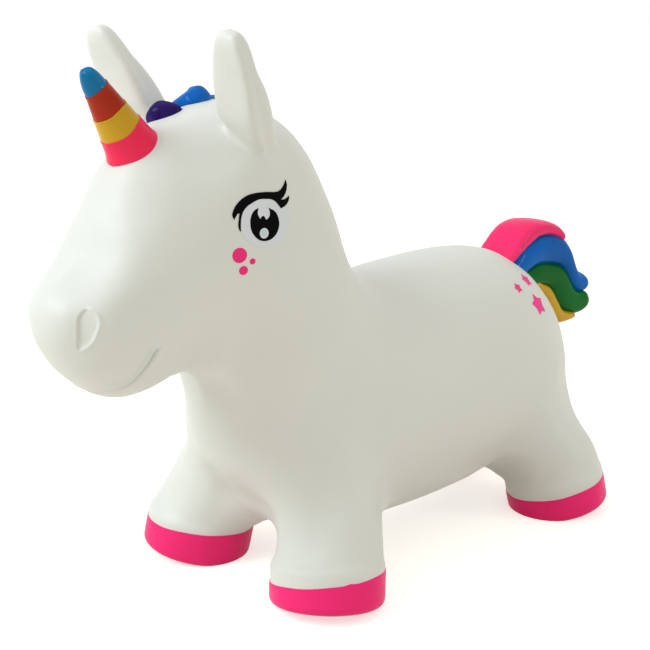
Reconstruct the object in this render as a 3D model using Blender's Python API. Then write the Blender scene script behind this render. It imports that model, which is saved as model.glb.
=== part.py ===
"""Bouncy ride-on unicorn: an inflated vinyl skin on four splayed feet, with a plug in its belly.

The animal looks along -Y, its left side is +X, and it stands on the ground plane Z = 0. Lengths are in
metres, angles in degrees. Places along the animal are measured from the middle of its body.
"""

import math

import bmesh
import bpy
from mathutils import Matrix, Vector
from mathutils.bvhtree import BVHTree

# Skin
WALL = 0.0024
SKIN_FACET = 0.024
SKIN_SOFTENING = 3  # passes that round the creases where limbs meet the body
SOFTENING_LOSS = 0.0022  # what those passes take off a leg's radius
SEAM_GAP = 0.0003  # between neighbouring zones of the skin, and under what sits on it
OVERRUN = 0.004  # how far a cutter passes what it cuts
FRAME_SHIFT_Y = 0.024  # brings the middle of the whole length over the origin

# Body
BODY_LENGTH = 0.452
BODY_WIDTH = 0.214
BODY_HEIGHT = 0.246
BELLY_CLEARANCE = 0.026  # over the ground
# Each station: place from chest to rump, then width, top and bottom about the middle height.
BODY_STATION_SHARES = (
    (0.000, 0.10, 0.02, 0.04),
    (0.030, 0.42, 0.34, 0.28),
    (0.090, 0.70, 0.62, 0.54),
    (0.190, 0.90, 0.88, 0.82),
    (0.330, 0.99, 0.99, 0.97),
    (0.500, 1.00, 0.98, 1.00),
    (0.660, 1.00, 1.02, 0.97),
    (0.800, 0.97, 1.00, 0.88),
    (0.900, 0.86, 0.84, 0.76),
    (0.965, 0.60, 0.56, 0.54),
    (1.000, 0.20, 0.14, 0.14),
)

# Neck and cranium, from inside the shoulders to the crown
NECK_WIDTH = 0.176
NECK_DEPTH = 0.184
NECK_FOOT_INSET = 0.112  # behind the foremost point of the chest
NECK_FOOT_DROP = 0.132  # below the back
CROWN_REACH = 0.116  # forward of the neck's foot
CROWN_RISE = 0.291  # above the neck's foot
# Each station: place along the neck, then width and depth.
NECK_STATION_SHARES = (
    (0.00, 0.80, 0.86),
    (0.22, 0.98, 0.98),
    (0.42, 1.00, 0.94),
    (0.62, 0.99, 0.94),
    (0.80, 0.97, 0.85),
    (0.92, 0.84, 0.64),
    (1.00, 0.46, 0.30),
)

# Muzzle, from inside the cranium to the nose
MUZZLE_ROOT_AFT = 0.027  # of the crown
MUZZLE_ROOT_DROP = 0.086
NOSE_REACH = 0.179  # forward of the muzzle's root
NOSE_DROP = 0.093
MUZZLE_WIDTH = 0.152
MUZZLE_DEPTH = 0.164
# Each station: place along the muzzle, then width, top and bottom about its axis.
MUZZLE_STATION_SHARES = (
    (0.00, 0.94, 1.00, 0.90),
    (0.25, 1.00, 1.19, 0.96),
    (0.45, 0.94, 1.00, 1.04),
    (0.62, 0.84, 0.77, 1.07),
    (0.78, 0.77, 0.65, 1.05),
    (0.90, 0.67, 0.60, 0.92),
    (0.97, 0.42, 0.34, 0.54),
    (1.00, 0.12, 0.10, 0.16),
)

# Legs
FRONT_HIP_INSET = 0.071  # from the ends of the body
REAR_HIP_INSET = 0.052
HIP_RISE = 0.094  # above the belly
HIP_WIDTH = 0.086
SOLE_REACH_OUT = 0.0365  # from under the hip to the middle of the sole
SOLE_REACH_FORE = 0.0105
SOLE_REACH_AFT = 0.0015
ANKLE_HEIGHT = 0.050  # up the leg, to where it starts to bend inwards
LEG_SEAM_REACH = 0.035  # past the hoof, of the round seam about the sole where a leg joins the body
LEG_PARTING = 0.007  # between the seams of a pair of legs
# Each station: place up the leg, then how far it has grown from the foot's width to the hip's.
LEG_STATION_SHARES = (
    (-0.85, 0.00),
    (-0.40, 0.00),
    (0.00, 0.00),
    (0.35, 0.15),
    (0.70, 0.60),
    (1.00, 1.00),
)

# Hooves
HOOF_WIDTH = 0.102
HOOF_BAND = 0.0285
HOOF_EDGE = 0.008
HOOF_WALL = 0.004
HOOF_LIP = 0.0010  # how far the band stands proud of the leg
LEAN_OUT = 7.0
LEAN_FORE = 9.0
SOLE_FLAT = 0.008  # how deep the lowest edge of a sole is pressed flat on the ground

# Seams between neck, head and body
NECK_SEAM_RISE = 0.097  # along the neck, from its foot
THROAT_FORE = 0.099  # of the neck's middle line, where the head seam meets the throat
THROAT_RISE = 0.022  # of that place above the neck seam
NAPE_AFT = 0.070
NAPE_RISE = 0.171

# Middle of the skull, about which ears, horn and mane are set
SKULL_AFT = 0.032  # of the crown
SKULL_DROP = 0.086

# Ears
EAR_LENGTH = 0.110
EAR_WIDTH = 0.045
EAR_DEPTH = 0.024
EAR_RIM = 0.004
EAR_ROOT_SHARES = (0.725, -0.328, 0.605)  # direction from inside the skull to the left ear's root
EAR_ROOT_DEPTH = 0.0134  # of the root in the head
EAR_LEAN_OUT = 15.0
EAR_LEAN_FORE = 22.0
EAR_TURN_OUT = 0.0
EAR_POINTS = 16
# Each station: place up the ear, then width, depth, how hollow its front is, and how far it leans forward.
EAR_STATION_SHARES = (
    (0.00, 0.90, 1.00, -0.20, 0.04),
    (0.22, 1.04, 1.10, 0.00, 0.12),
    (0.38, 1.08, 1.10, 0.06, 0.14),
    (0.54, 1.04, 1.04, 0.06, 0.14),
    (0.70, 0.94, 0.92, 0.02, 0.14),
    (0.84, 0.76, 0.78, -0.06, 0.14),
    (0.94, 0.54, 0.62, -0.25, 0.15),
    (1.00, 0.28, 0.34, -0.50, 0.16),
)

# Horn, in rings of colour
HORN_LENGTH = 0.080
HORN_LEAN = 34.0
HORN_FOOT_SHARES = (0.0, -0.862, 0.507)  # direction from inside the skull to the horn's foot
HORN_FOOT_DEPTH = 0.0011  # of the middle of the foot under the skin
HORN_FOOT_WIDTH = 0.045
HORN_TIP_WIDTH = 0.012
HORN_ROOT = 0.020  # how far the lowest ring reaches down into the head, before it is trimmed to it
HORN_LIP = 0.0011
HORN_POINTS = 16
HORN_BAND_SHARES = (0.00, 0.27, 0.49, 0.75, 1.00)
HORN_SWELL_SHARE = 0.40  # how far up a ring its side starts to swell into the lip
HORN_TIP_SHARES = ((0.75, 1.10), (0.93, 0.75), (1.00, 0.33))  # place up the tip, then width
HORN_COLOURS = (
    ("horn_ring_pink", "pink"),
    ("horn_ring_yellow", "yellow"),
    ("horn_ring_orange", "orange"),
    ("horn_tip_sky", "sky"),
)

# Mane, laid over the crown and down the right of the neck
LOCK_WIDTH = 0.026
LOCK_HEIGHT = 0.010
LOCK_SLICES = 2
LOCK_POINTS = 10
LOCK_END_SHARE = 0.18
LOCK_SKEW_SHARE = 0.85
# Each lock: name, paint, width and height against the usual, and the directions from inside the skull that it passes.
LOCK_SHARES = (
    ("forelock_purple", "purple", 0.95, 1.30,
     ((-0.22, -1.00, 1.04), (-0.22, -0.78, 1.10), (-0.27, -0.56, 1.12), (-0.37, -0.34, 1.06))),
    ("mane_lock_blue", "blue", 1.05, 1.45,
     ((-0.18, -0.46, 1.00), (-0.32, -0.16, 1.00), (-0.42, 0.10, 1.00), (-0.70, 0.28, 0.86))),
    ("mane_lock_sky", "sky", 0.80, 0.90,
     ((-0.26, 0.06, 1.00), (-0.40, 0.28, 0.96), (-0.60, 0.48, 0.72), (-0.84, 0.58, 0.44))),
    ("mane_lock_violet", "purple", 1.05, 1.00,
     ((-0.16, 0.34, 0.94), (-0.34, 0.60, 0.74), (-0.60, 0.80, 0.44), (-0.90, 0.84, 0.10))),
    ("mane_lock_pink", "pink", 1.00, 1.00,
     ((-0.20, 0.66, 0.64), (-0.34, 0.88, 0.34), (-0.62, 0.96, 0.00), (-0.92, 0.92, -0.34))),
    ("mane_lock_blue_low", "blue", 1.05, 1.00,
     ((-0.18, 0.90, 0.28), (-0.34, 1.02, -0.04), (-0.62, 1.02, -0.36), (-0.90, 0.90, -0.66))),
)

# Tail
TAIL_ROOT_INSET = 0.048  # forward of the rump's last point
TAIL_ROOT_DROP = 0.046  # below the back
TAIL_LENGTH = 0.160
TAIL_WIDTH = 0.050
TAIL_STRAND = 0.026
TAIL_SLICES = 2
STRAND_POINTS = 10
TAIL_TAPER_SHARE = 0.45
TAIL_END_SHARE = 0.10
# Each strand: name, paint, width and thickness against the usual, and its curve as places behind and above the
# root, against the tail's length.
TAIL_STRAND_SHARES = (
    ("tail_strand_blue", "blue", 1.04, 0.98,
     ((0.02, 0.08), (0.20, 0.16), (0.38, 0.17), (0.56, 0.105), (0.685, -0.012), (0.80, -0.12), (0.97, -0.12))),
    ("tail_strand_pink", "pink", 0.98, 1.05,
     ((-0.01, 0.15), (0.10, 0.25), (0.26, 0.29), (0.43, 0.265), (0.58, 0.19))),
    ("tail_strand_green", "green", 1.00, 1.00,
     ((0.16, -0.04), (0.31, 0.01), (0.45, -0.025), (0.56, -0.13), (0.67, -0.235), (0.81, -0.275), (0.97, -0.22))),
    ("tail_strand_yellow", "yellow", 0.94, 0.80,
     ((0.18, -0.16), (0.30, -0.11), (0.40, -0.18), (0.49, -0.29), (0.62, -0.35), (0.84, -0.35))),
)

# Printed eyes
EYE_AFT = 0.026  # from the crown to the point inside the head that the eye is aimed from
EYE_DROP = 0.090
EYE_REACH = 0.050  # sideways to that point
EYE_TURN = 32.0  # how far the eye looks forwards of sideways
EYE_TILT = 6.0
EYE_WIDTH = 0.041
IRIS_WIDTH = 0.026
IRIS_FORE = 0.0016  # from the eye's middle
IRIS_DROP = 0.0024
PRINT_THICK = 0.0005
# The upper lash with its two wings, towards the tail and up from the eye's middle, against its radius.
LASH_OUTLINE_SHARES = (
    (-1.22, 0.10), (-1.34, 0.22), (-1.28, 0.50), (-1.04, 0.86), (-0.60, 1.14), (-0.05, 1.22), (0.40, 1.22),
    (0.70, 1.34), (0.86, 1.60), (0.90, 1.28), (0.76, 0.98), (1.00, 0.98), (0.90, 0.68), (0.60, 0.60),
    (0.40, 0.78), (0.00, 0.90), (-0.48, 0.77), (-0.82, 0.44), (-1.02, 0.30),
)

# Valve
VALVE_AFT = 0.032  # of the middle of the body
VALVE_POINTS = 16
PORT_WIDTH = 0.026
PORT_DEPTH = 0.012
PORT_EDGE = 0.001
PLUG_HEAD_WIDTH = 0.018
PLUG_HEAD = 0.0022
PLUG_EDGE = 0.0006
PLUG_STEM_WIDTH = 0.0090
PLUG_LENGTH = 0.015
PLUG_TAPER = 0.003
PLUG_END_SHARE = 0.80
PLUG_PLAY = 0.0003

SHARP_ANGLE = 50.0
PAINTS = {
    "vinyl": ((0.82, 0.83, 0.79), 0.48),
    "pink": ((0.93, 0.05, 0.22), 0.35),
    "yellow": ((0.72, 0.42, 0.02), 0.30),
    "orange": ((0.60, 0.07, 0.01), 0.30),
    "sky": ((0.03, 0.35, 0.62), 0.30),
    "blue": ((0.01, 0.12, 0.52), 0.30),
    "green": ((0.01, 0.20, 0.03), 0.30),
    "purple": ((0.07, 0.02, 0.22), 0.30),
    "white": ((0.72, 0.72, 0.78), 0.35),
    "black": ((0.01, 0.01, 0.015), 0.30),
}

RING_POINTS = 32
ROUND_POINTS = 20
LEG_STEPS = 50  # small steps along a leg, in which its direction is measured
HOOF_EDGE_STEPS = 2
ZONE_REACH_SHARE = 1.5  # side of the blocks that cut zones, against the length of the body

SIDE = Vector((1.0, 0.0, 0.0))
AFT = Vector((0.0, 1.0, 0.0))
RISE = Vector((0.0, 0.0, 1.0))
LEFT, RIGHT = 1, -1
FRONT, REAR = -1, 1


def clear_scene():
    for old in list(bpy.data.objects):
        bpy.data.objects.remove(old)


def material(name, colour, roughness):
    made = bpy.data.materials.new(name)
    made.use_nodes = True
    shader = made.node_tree.nodes["Principled BSDF"]
    shader.inputs["Base Color"].default_value = (*colour, 1.0)
    shader.inputs["Roughness"].default_value = roughness
    shader.inputs["Metallic"].default_value = 0.0
    return made


def new_object(name, mesh):
    made = bpy.data.objects.new(name, mesh)
    bpy.context.scene.collection.objects.link(made)
    return made


def helper(name, mesh):
    made = new_object(name, mesh)
    made.hide_render = True
    made.display_type = "WIRE"
    return made


def mesh_from(bm):
    bmesh.ops.recalc_face_normals(bm, faces=bm.faces)
    mesh = bpy.data.meshes.new("shape")
    bm.to_mesh(mesh)
    bm.free()
    return mesh


def evaluated_mesh(made):
    """The mesh with its modifiers worked out. The helper object goes."""
    graph = bpy.context.evaluated_depsgraph_get()
    mesh = bpy.data.meshes.new_from_object(made.evaluated_get(graph))
    bpy.data.objects.remove(made)
    return mesh


def joined(mesh, other_mesh, operation):
    """The first mesh with the other cut out of it, kept only inside it, or fused to it."""
    first = helper("first", mesh)
    second = helper("second", other_mesh)
    boolean = first.modifiers.new("boolean", "BOOLEAN")
    boolean.object = second
    boolean.operation = operation
    boolean.solver = "EXACT"
    result = evaluated_mesh(first)
    bpy.data.objects.remove(second)
    return result


def less(mesh, *cutters):
    for cutter in cutters:
        mesh = joined(mesh, cutter, "DIFFERENCE")
    return mesh


def within(mesh, *blocks):
    for block in blocks:
        mesh = joined(mesh, block, "INTERSECT")
    return mesh


def swollen(mesh, by):
    """The same closed surface, each point moved outwards."""
    made = helper("swollen", mesh.copy())
    displace = made.modifiers.new("swell", "DISPLACE")
    displace.strength = by
    displace.mid_level = 0.0
    return evaluated_mesh(made)


def seated(mesh, *carriers):
    """The mesh trimmed to sit on its carriers with the seam gap between them."""
    return less(mesh, *[swollen(carrier, SEAM_GAP) for carrier in carriers])


def ring(centre, side, up, half_side, half_up, half_down, count):
    """Points of an oval about centre, with its own half height above and below."""
    points = []
    for step in range(count):
        angle = 2 * math.pi * step / count
        height = half_up if math.sin(angle) > 0 else half_down
        points.append(centre + side * half_side * math.cos(angle) + up * height * math.sin(angle))
    return points


def add_loft(bm, rings):
    """A skin through rings of points, closed at both ends."""
    rows = [[bm.verts.new(point) for point in points] for points in rings]
    count = len(rows[0])
    for row, after in zip(rows, rows[1:]):
        for step in range(count):
            other = (step + 1) % count
            bm.faces.new((row[step], row[other], after[other], after[step]))
    bm.faces.new(rows[0])
    bm.faces.new(rows[-1])


def loft(rings):
    bm = bmesh.new()
    add_loft(bm, rings)
    return mesh_from(bm)


def turned(profile, base, axis, count=ROUND_POINTS):
    """A closed solid turned about an axis from (radius, height) points, from its bottom to its top."""
    across = axis.orthogonal().normalized()
    along = axis.cross(across)
    rings = []
    for radius, height in profile:
        rings.append(ring(base + axis * height, across, along, radius, radius, radius, count))
    return loft(rings)


def half_space(point, outward):
    """A big block whose one face passes through the point, on the side that outward points to."""
    reach = BODY_LENGTH * ZONE_REACH_SHARE
    bm = bmesh.new()
    bmesh.ops.create_cube(bm, size=2 * reach)
    turn = outward.to_track_quat("Z", "Y").to_matrix().to_4x4()
    bmesh.ops.transform(bm, matrix=Matrix.Translation(point + outward * reach) @ turn, verts=bm.verts)
    return mesh_from(bm)


def ball(centre, radius):
    bm = bmesh.new()
    bmesh.ops.create_icosphere(bm, subdivisions=3, radius=radius)
    bmesh.ops.translate(bm, vec=centre, verts=bm.verts)
    return mesh_from(bm)


# The blown-up skin


def back_height():
    return BELLY_CLEARANCE + BODY_HEIGHT


def body_rings():
    middle = BELLY_CLEARANCE + BODY_HEIGHT / 2
    rings = []
    for along, width, top, bottom in BODY_STATION_SHARES:
        centre = Vector((0.0, BODY_LENGTH * (along - 1 / 2), middle))
        rings.append(ring(centre, SIDE, RISE, BODY_WIDTH / 2 * width,
                          BODY_HEIGHT / 2 * top, BODY_HEIGHT / 2 * bottom, RING_POINTS))
    return rings


def neck_foot():
    return Vector((0.0, NECK_FOOT_INSET - BODY_LENGTH / 2, back_height() - NECK_FOOT_DROP))


def crown():
    return neck_foot() + RISE * CROWN_RISE - AFT * CROWN_REACH


def neck_rings():
    aft = SIDE.cross(-neck_axis())
    rings = []
    for along, width, depth in NECK_STATION_SHARES:
        centre = neck_foot().lerp(crown(), along)
        rings.append(ring(centre, SIDE, aft, NECK_WIDTH / 2 * width,
                          NECK_DEPTH / 2 * depth, NECK_DEPTH / 2 * depth, RING_POINTS))
    return rings


def muzzle_rings():
    root = crown() + AFT * MUZZLE_ROOT_AFT - RISE * MUZZLE_ROOT_DROP
    nose = root - AFT * NOSE_REACH - RISE * NOSE_DROP
    up = (nose - root).normalized().cross(SIDE)
    rings = []
    for along, width, top, bottom in MUZZLE_STATION_SHARES:
        rings.append(ring(root.lerp(nose, along), SIDE, up, MUZZLE_WIDTH / 2 * width,
                          MUZZLE_DEPTH / 2 * top, MUZZLE_DEPTH / 2 * bottom, RING_POINTS))
    return rings


def leg_axis(side, end):
    """Unit vector up the leg from its sole."""
    out = math.tan(math.radians(LEAN_OUT))
    fore = math.tan(math.radians(LEAN_FORE))
    return Vector((-side * out, -end * fore, 1.0)).normalized()


def leg_seam_radius():
    return HOOF_WIDTH / 2 + LEG_SEAM_REACH


def hip_point(side, end):
    across = leg_seam_radius() + LEG_PARTING / 2 - SOLE_REACH_OUT
    inset = FRONT_HIP_INSET if end == FRONT else REAR_HIP_INSET
    return Vector((side * across, end * (BODY_LENGTH / 2 - inset), BELLY_CLEARANCE + HIP_RISE))


def sole_centre(side, end):
    """Middle of the sole, with its lowest edge SOLE_FLAT under the ground."""
    axis = leg_axis(side, end)
    drop = (HOOF_WIDTH / 2 - HOOF_EDGE) * math.hypot(axis.x, axis.y)
    hip = hip_point(side, end)
    reach = SOLE_REACH_FORE if end == FRONT else SOLE_REACH_AFT
    return Vector((hip.x + side * SOLE_REACH_OUT, hip.y + end * reach, drop - SOLE_FLAT))


def leg_point(side, end, along):
    """A point on the leg's middle line, which bends inwards above the hoof."""
    rise = leg_axis(side, end)
    hip = hip_point(side, end)
    ankle = sole_centre(side, end) + rise * ANKLE_HEIGHT
    knee = ankle + rise * (hip.z - ANKLE_HEIGHT) / 2
    if along < 0.0:
        return ankle + rise * (hip.z - ANKLE_HEIGHT) * along
    return ankle * (1 - along) ** 2 + knee * 2 * along * (1 - along) + hip * along ** 2


def leg_rings(side, end):
    foot_radius = HOOF_WIDTH / 2 - HOOF_LIP + SOFTENING_LOSS
    rings = []
    for along, grown in LEG_STATION_SHARES:
        centre = leg_point(side, end, along)
        rise = (leg_point(side, end, along + 1 / LEG_STEPS) - centre).normalized()
        across = rise.cross(AFT).normalized()
        radius = foot_radius + (HIP_WIDTH / 2 - foot_radius) * grown
        rings.append(ring(centre, across, across.cross(rise), radius, radius, radius, RING_POINTS))
    return rings


def blended_skin():
    """The outer surface of body, neck, muzzle and legs, grown together and rounded where they meet."""
    bm = bmesh.new()
    add_loft(bm, body_rings())
    add_loft(bm, neck_rings())
    add_loft(bm, muzzle_rings())
    for side in (LEFT, RIGHT):
        for end in (FRONT, REAR):
            add_loft(bm, leg_rings(side, end))
    rough = helper("rough", mesh_from(bm))
    remesh = rough.modifiers.new("grow_together", "REMESH")
    remesh.mode = "VOXEL"
    remesh.voxel_size = SKIN_FACET
    smooth = rough.modifiers.new("soften", "SMOOTH")
    smooth.factor = 0.5
    smooth.iterations = SKIN_SOFTENING
    rough.modifiers.new("facets", "TRIANGULATE")
    return evaluated_mesh(rough)


def shell(surface, inner, outer):
    """What lies between two distances from the surface, outwards positive, hollow inside."""
    made = helper("shell", swollen(surface, outer))
    solidify = made.modifiers.new("wall", "SOLIDIFY")
    solidify.thickness = outer - inner
    solidify.offset = -1.0
    return evaluated_mesh(made)


def skull():
    return crown() + AFT * SKULL_AFT - RISE * SKULL_DROP


def surface_point(tree, origin, direction):
    """Where a ray from outside, coming in along the direction to the origin, meets the skin."""
    direction = direction.normalized()
    hit, _, _, _ = tree.ray_cast(origin + direction * BODY_LENGTH, -direction)
    return hit


# Zones of the skin


def neck_axis():
    return (crown() - neck_foot()).normalized()


def neck_seam(gap):
    return half_space(neck_foot() + neck_axis() * (NECK_SEAM_RISE + gap), neck_axis())


def head_seam(gap):
    aft = SIDE.cross(-neck_axis())
    middle = neck_foot() + neck_axis() * NECK_SEAM_RISE
    nape = middle + aft * NAPE_AFT + neck_axis() * NAPE_RISE
    throat = middle - aft * THROAT_FORE + neck_axis() * THROAT_RISE
    fore = (throat - nape).cross(SIDE).normalized()
    return half_space(throat + fore * gap, fore)


def hoof_seam(side, end, gap):
    axis = leg_axis(side, end)
    return half_space(sole_centre(side, end) + axis * (HOOF_BAND - gap), -axis)


def leg_ball(side, end, gap):
    return ball(sole_centre(side, end), leg_seam_radius() + gap)


def torso_mesh(wall):
    mesh = less(wall, neck_seam(-SEAM_GAP / 2), valve_hole())
    for side in (LEFT, RIGHT):
        for end in (FRONT, REAR):
            mesh = less(mesh, leg_ball(side, end, SEAM_GAP / 2))
    return mesh


def neck_mesh(wall):
    return less(within(wall, neck_seam(SEAM_GAP / 2)), head_seam(-SEAM_GAP / 2))


def head_mesh(wall):
    return within(wall, head_seam(SEAM_GAP / 2))


def leg_mesh(wall, side, end):
    return less(within(wall, leg_ball(side, end, -SEAM_GAP / 2)), hoof_seam(side, end, -SEAM_GAP / 2))


def hoof_mesh(side, end):
    """A shallow cup with a rounded lower edge, pressed flat where it stands."""
    outer = HOOF_WIDTH / 2
    inner = outer - HOOF_WALL
    top = HOOF_BAND - SEAM_GAP / 2
    profile = [(outer - HOOF_EDGE, 0.0)]
    for step in range(1, HOOF_EDGE_STEPS + 1):
        angle = math.pi / 2 * step / HOOF_EDGE_STEPS
        profile.append((outer - HOOF_EDGE + HOOF_EDGE * math.sin(angle), HOOF_EDGE * (1 - math.cos(angle))))
    profile.append((outer, top))
    base, axis = sole_centre(side, end), leg_axis(side, end)
    cup = turned(profile, base, axis)
    room = turned([(inner - HOOF_EDGE / 2, HOOF_WALL), (inner, HOOF_WALL + HOOF_EDGE / 2),
                   (inner, top + OVERRUN)], base, axis)
    cup = less(cup, less(room, half_space(RISE * HOOF_WALL, -RISE)))
    return less(cup, half_space(RISE * 0.0, -RISE))


# Ears


def ear_mesh(side, tree, skin):
    """A leaf, rounded behind and hollowed in front, standing out of the head."""
    out_share, aft_share, rise_share = EAR_ROOT_SHARES
    direction = Vector((side * out_share, aft_share, rise_share)).normalized()
    root = surface_point(tree, skull(), direction) - direction * EAR_ROOT_DEPTH
    out, fore = math.tan(math.radians(EAR_LEAN_OUT)), math.tan(math.radians(EAR_LEAN_FORE))
    rise = Vector((side * out, -fore, 1.0)).normalized()
    turn = math.radians(EAR_TURN_OUT)
    front = Vector((side * math.sin(turn), -math.cos(turn), 0.0))
    front = (front - rise * front.dot(rise)).normalized()
    across = rise.cross(front)
    rings = []
    for along, width, depth, hollow, lean in EAR_STATION_SHARES:
        centre = root + rise * EAR_LENGTH * along + front * EAR_DEPTH * lean
        points = []
        for step in range(EAR_POINTS):
            angle = 2 * math.pi * (step + 1 / 2) / EAR_POINTS
            bulge = abs(math.sin(angle))
            back = EAR_DEPTH * depth * bulge
            if math.sin(angle) < 0:
                back = back - EAR_DEPTH * (1 + hollow) * depth * bulge * bulge - EAR_RIM * depth
            points.append(centre + across * EAR_WIDTH / 2 * width * math.cos(angle) - front * back)
        rings.append(points)
    return seated(loft(rings), skin)


# Horn


def horn_axis():
    lean = math.radians(HORN_LEAN)
    return Vector((0.0, -math.sin(lean), math.cos(lean)))


def horn_band_mesh(number, tree):
    """One ring of the horn: a tapered drum whose upper edge is swollen into a lip below the next ring."""
    low, high = HORN_BAND_SHARES[number], HORN_BAND_SHARES[number + 1]
    length = HORN_LENGTH * (high - low)
    low_radius = HORN_FOOT_WIDTH / 2 + (HORN_TIP_WIDTH - HORN_FOOT_WIDTH) / 2 * low
    high_radius = HORN_FOOT_WIDTH / 2 + (HORN_TIP_WIDTH - HORN_FOOT_WIDTH) / 2 * high
    direction = Vector(HORN_FOOT_SHARES).normalized()
    foot = surface_point(tree, skull(), direction) - direction * HORN_FOOT_DEPTH
    base = foot + horn_axis() * HORN_LENGTH * low
    swell = HORN_SWELL_SHARE * length
    if number == 0:
        profile = [(low_radius, -HORN_ROOT), (low_radius, 0.0), (low_radius, swell)]
    else:
        profile = [(low_radius - HORN_LIP, 0.0), (low_radius, HORN_LIP), (low_radius, swell)]
    if number < len(HORN_COLOURS) - 1:
        profile += [(high_radius + HORN_LIP, length - 2 * HORN_LIP), (high_radius + HORN_LIP, length - HORN_LIP),
                    (high_radius, length - SEAM_GAP)]
    else:
        profile += [(high_radius * width, length * along) for along, width in HORN_TIP_SHARES]
    return turned(profile, base, horn_axis(), HORN_POINTS)


# Mane and tail


def lock_mesh(tree, width, height, directions):
    """A tapering lock of mane along the points of the skin that the directions from the skull meet."""
    found = [surface_point(tree, skull(), Vector(direction)) for direction in directions]
    places = smooth_path(found, LOCK_SLICES)
    rings = []
    for number, place in enumerate(places):
        before, after = places[max(number - 1, 0)], places[min(number + 1, len(places) - 1)]
        along = (after - before).normalized()
        near, _, _, _ = tree.find_nearest(place)
        across = along.cross(place - skull()).normalized()
        up = across.cross(along)
        share = number / (len(places) - 1)
        swell = LOCK_END_SHARE + (1 - LOCK_END_SHARE) * math.sin(math.pi * share ** LOCK_SKEW_SHARE)
        rings.append(ring(near, across, up, width / 2 * swell, height * swell, height * swell, LOCK_POINTS))
    return loft(rings)


def smooth_path(points, slices):
    """Points along a smooth curve through the given ones, with as many steps in each stretch."""
    path = []
    last = len(points) - 1
    for number in range(last):
        before, start = points[max(number - 1, 0)], points[number]
        end, after = points[number + 1], points[min(number + 2, last)]
        for step in range(slices):
            share = step / slices
            bend = (end - before) * share + (2 * before - 5 * start + 4 * end - after) * share ** 2
            bend += (3 * start - before - 3 * end + after) * share ** 3
            path.append(start + bend / 2)
    path.append(points[last])
    return path


def strand_mesh(width, thick, curve):
    """One thick strand of the tail, an oval swept along its curve over and down the rump."""
    root = Vector((0.0, BODY_LENGTH / 2 - TAIL_ROOT_INSET, back_height() - TAIL_ROOT_DROP))
    places = smooth_path([root + TAIL_LENGTH * (AFT * aft + RISE * rise) for aft, rise in curve], TAIL_SLICES)
    rings = []
    for number, place in enumerate(places):
        before, after = places[max(number - 1, 0)], places[min(number + 1, len(places) - 1)]
        up = SIDE.cross((after - before).normalized())
        share = number / (len(places) - 1)
        swell = 1.0 if share < TAIL_TAPER_SHARE else math.sqrt(
            1 - (1 - TAIL_END_SHARE) * ((share - TAIL_TAPER_SHARE) / (1 - TAIL_TAPER_SHARE)) ** 2)
        rings.append(ring(place, SIDE, up, TAIL_WIDTH / 2 * width * swell, TAIL_STRAND / 2 * thick * swell,
                          TAIL_STRAND / 2 * thick * swell, STRAND_POINTS))
    return loft(rings)


# Printed eyes


def prism(points, frame, half_depth):
    bm = bmesh.new()
    front = [bm.verts.new(frame @ Vector((u, v, half_depth))) for u, v in points]
    back = [bm.verts.new(frame @ Vector((u, v, -half_depth))) for u, v in points]
    count = len(points)
    for step in range(count):
        other = (step + 1) % count
        bm.faces.new((front[step], front[other], back[other], back[step]))
    bm.faces.new(front)
    bm.faces.new(back)
    return mesh_from(bm)


def circle_points(across, up, radius, count):
    turns = [2 * math.pi * step / count for step in range(count)]
    return [(across + radius * math.cos(turn), up + radius * math.sin(turn)) for turn in turns]


def grown(points, by):
    """The same outline, each corner moved outwards by about the given distance."""
    moved = []
    for number, (u, v) in enumerate(points):
        (u0, v0), (u1, v1) = points[number - 1], points[(number + 1) % len(points)]
        along = Vector((u1 - u0, v1 - v0)).normalized()
        moved.append((u - along.y * by, v + along.x * by))
    return moved


def eye_frame(side, tree):
    """Axes on the head where the eye is printed: towards the tail, up, and out of the skin."""
    turn, tilt = math.radians(EYE_TURN), math.radians(EYE_TILT)
    out = Vector((side * math.cos(turn) * math.cos(tilt), -math.sin(turn) * math.cos(tilt), math.sin(tilt)))
    aim = crown() + SIDE * side * EYE_REACH + AFT * EYE_AFT - RISE * EYE_DROP
    hit = surface_point(tree, aim, out)
    aft = RISE.cross(out).normalized() * side
    up = out.cross(aft) * side
    return Matrix.Translation(hit) @ Matrix((aft, up, out)).transposed().to_4x4()


def eye_meshes(side, tree, film):
    """The white, the iris and the upper lash, printed side by side on the head."""
    frame = eye_frame(side, tree)
    radius = EYE_WIDTH / 2
    lash_outline = [(radius * u, radius * v) for u, v in LASH_OUTLINE_SHARES]
    disc = prism(circle_points(0.0, 0.0, radius, ROUND_POINTS), frame, EYE_WIDTH)
    iris = prism(circle_points(-IRIS_FORE, -IRIS_DROP, IRIS_WIDTH / 2, ROUND_POINTS), frame, EYE_WIDTH)
    iris_room = prism(circle_points(-IRIS_FORE, -IRIS_DROP, IRIS_WIDTH / 2 + SEAM_GAP, ROUND_POINTS),
                      frame, EYE_REACH)
    lash = prism(lash_outline, frame, EYE_WIDTH)
    lash_room = prism(grown(lash_outline, SEAM_GAP), frame, EYE_REACH)
    white = less(within(film.copy(), disc), iris_room, lash_room)
    return white, within(film.copy(), iris), within(film.copy(), lash)


# Valve in the belly


def valve_place(skin_tree):
    hit, _, _, _ = skin_tree.ray_cast(Vector((0.0, VALVE_AFT, 0.0)), RISE)
    return hit


def valve_hole():
    return turned([(PORT_WIDTH / 2 + SEAM_GAP, -OVERRUN), (PORT_WIDTH / 2 + SEAM_GAP, BODY_HEIGHT / 2)],
                  Vector((0.0, VALVE_AFT, 0.0)), RISE, VALVE_POINTS)


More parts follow.
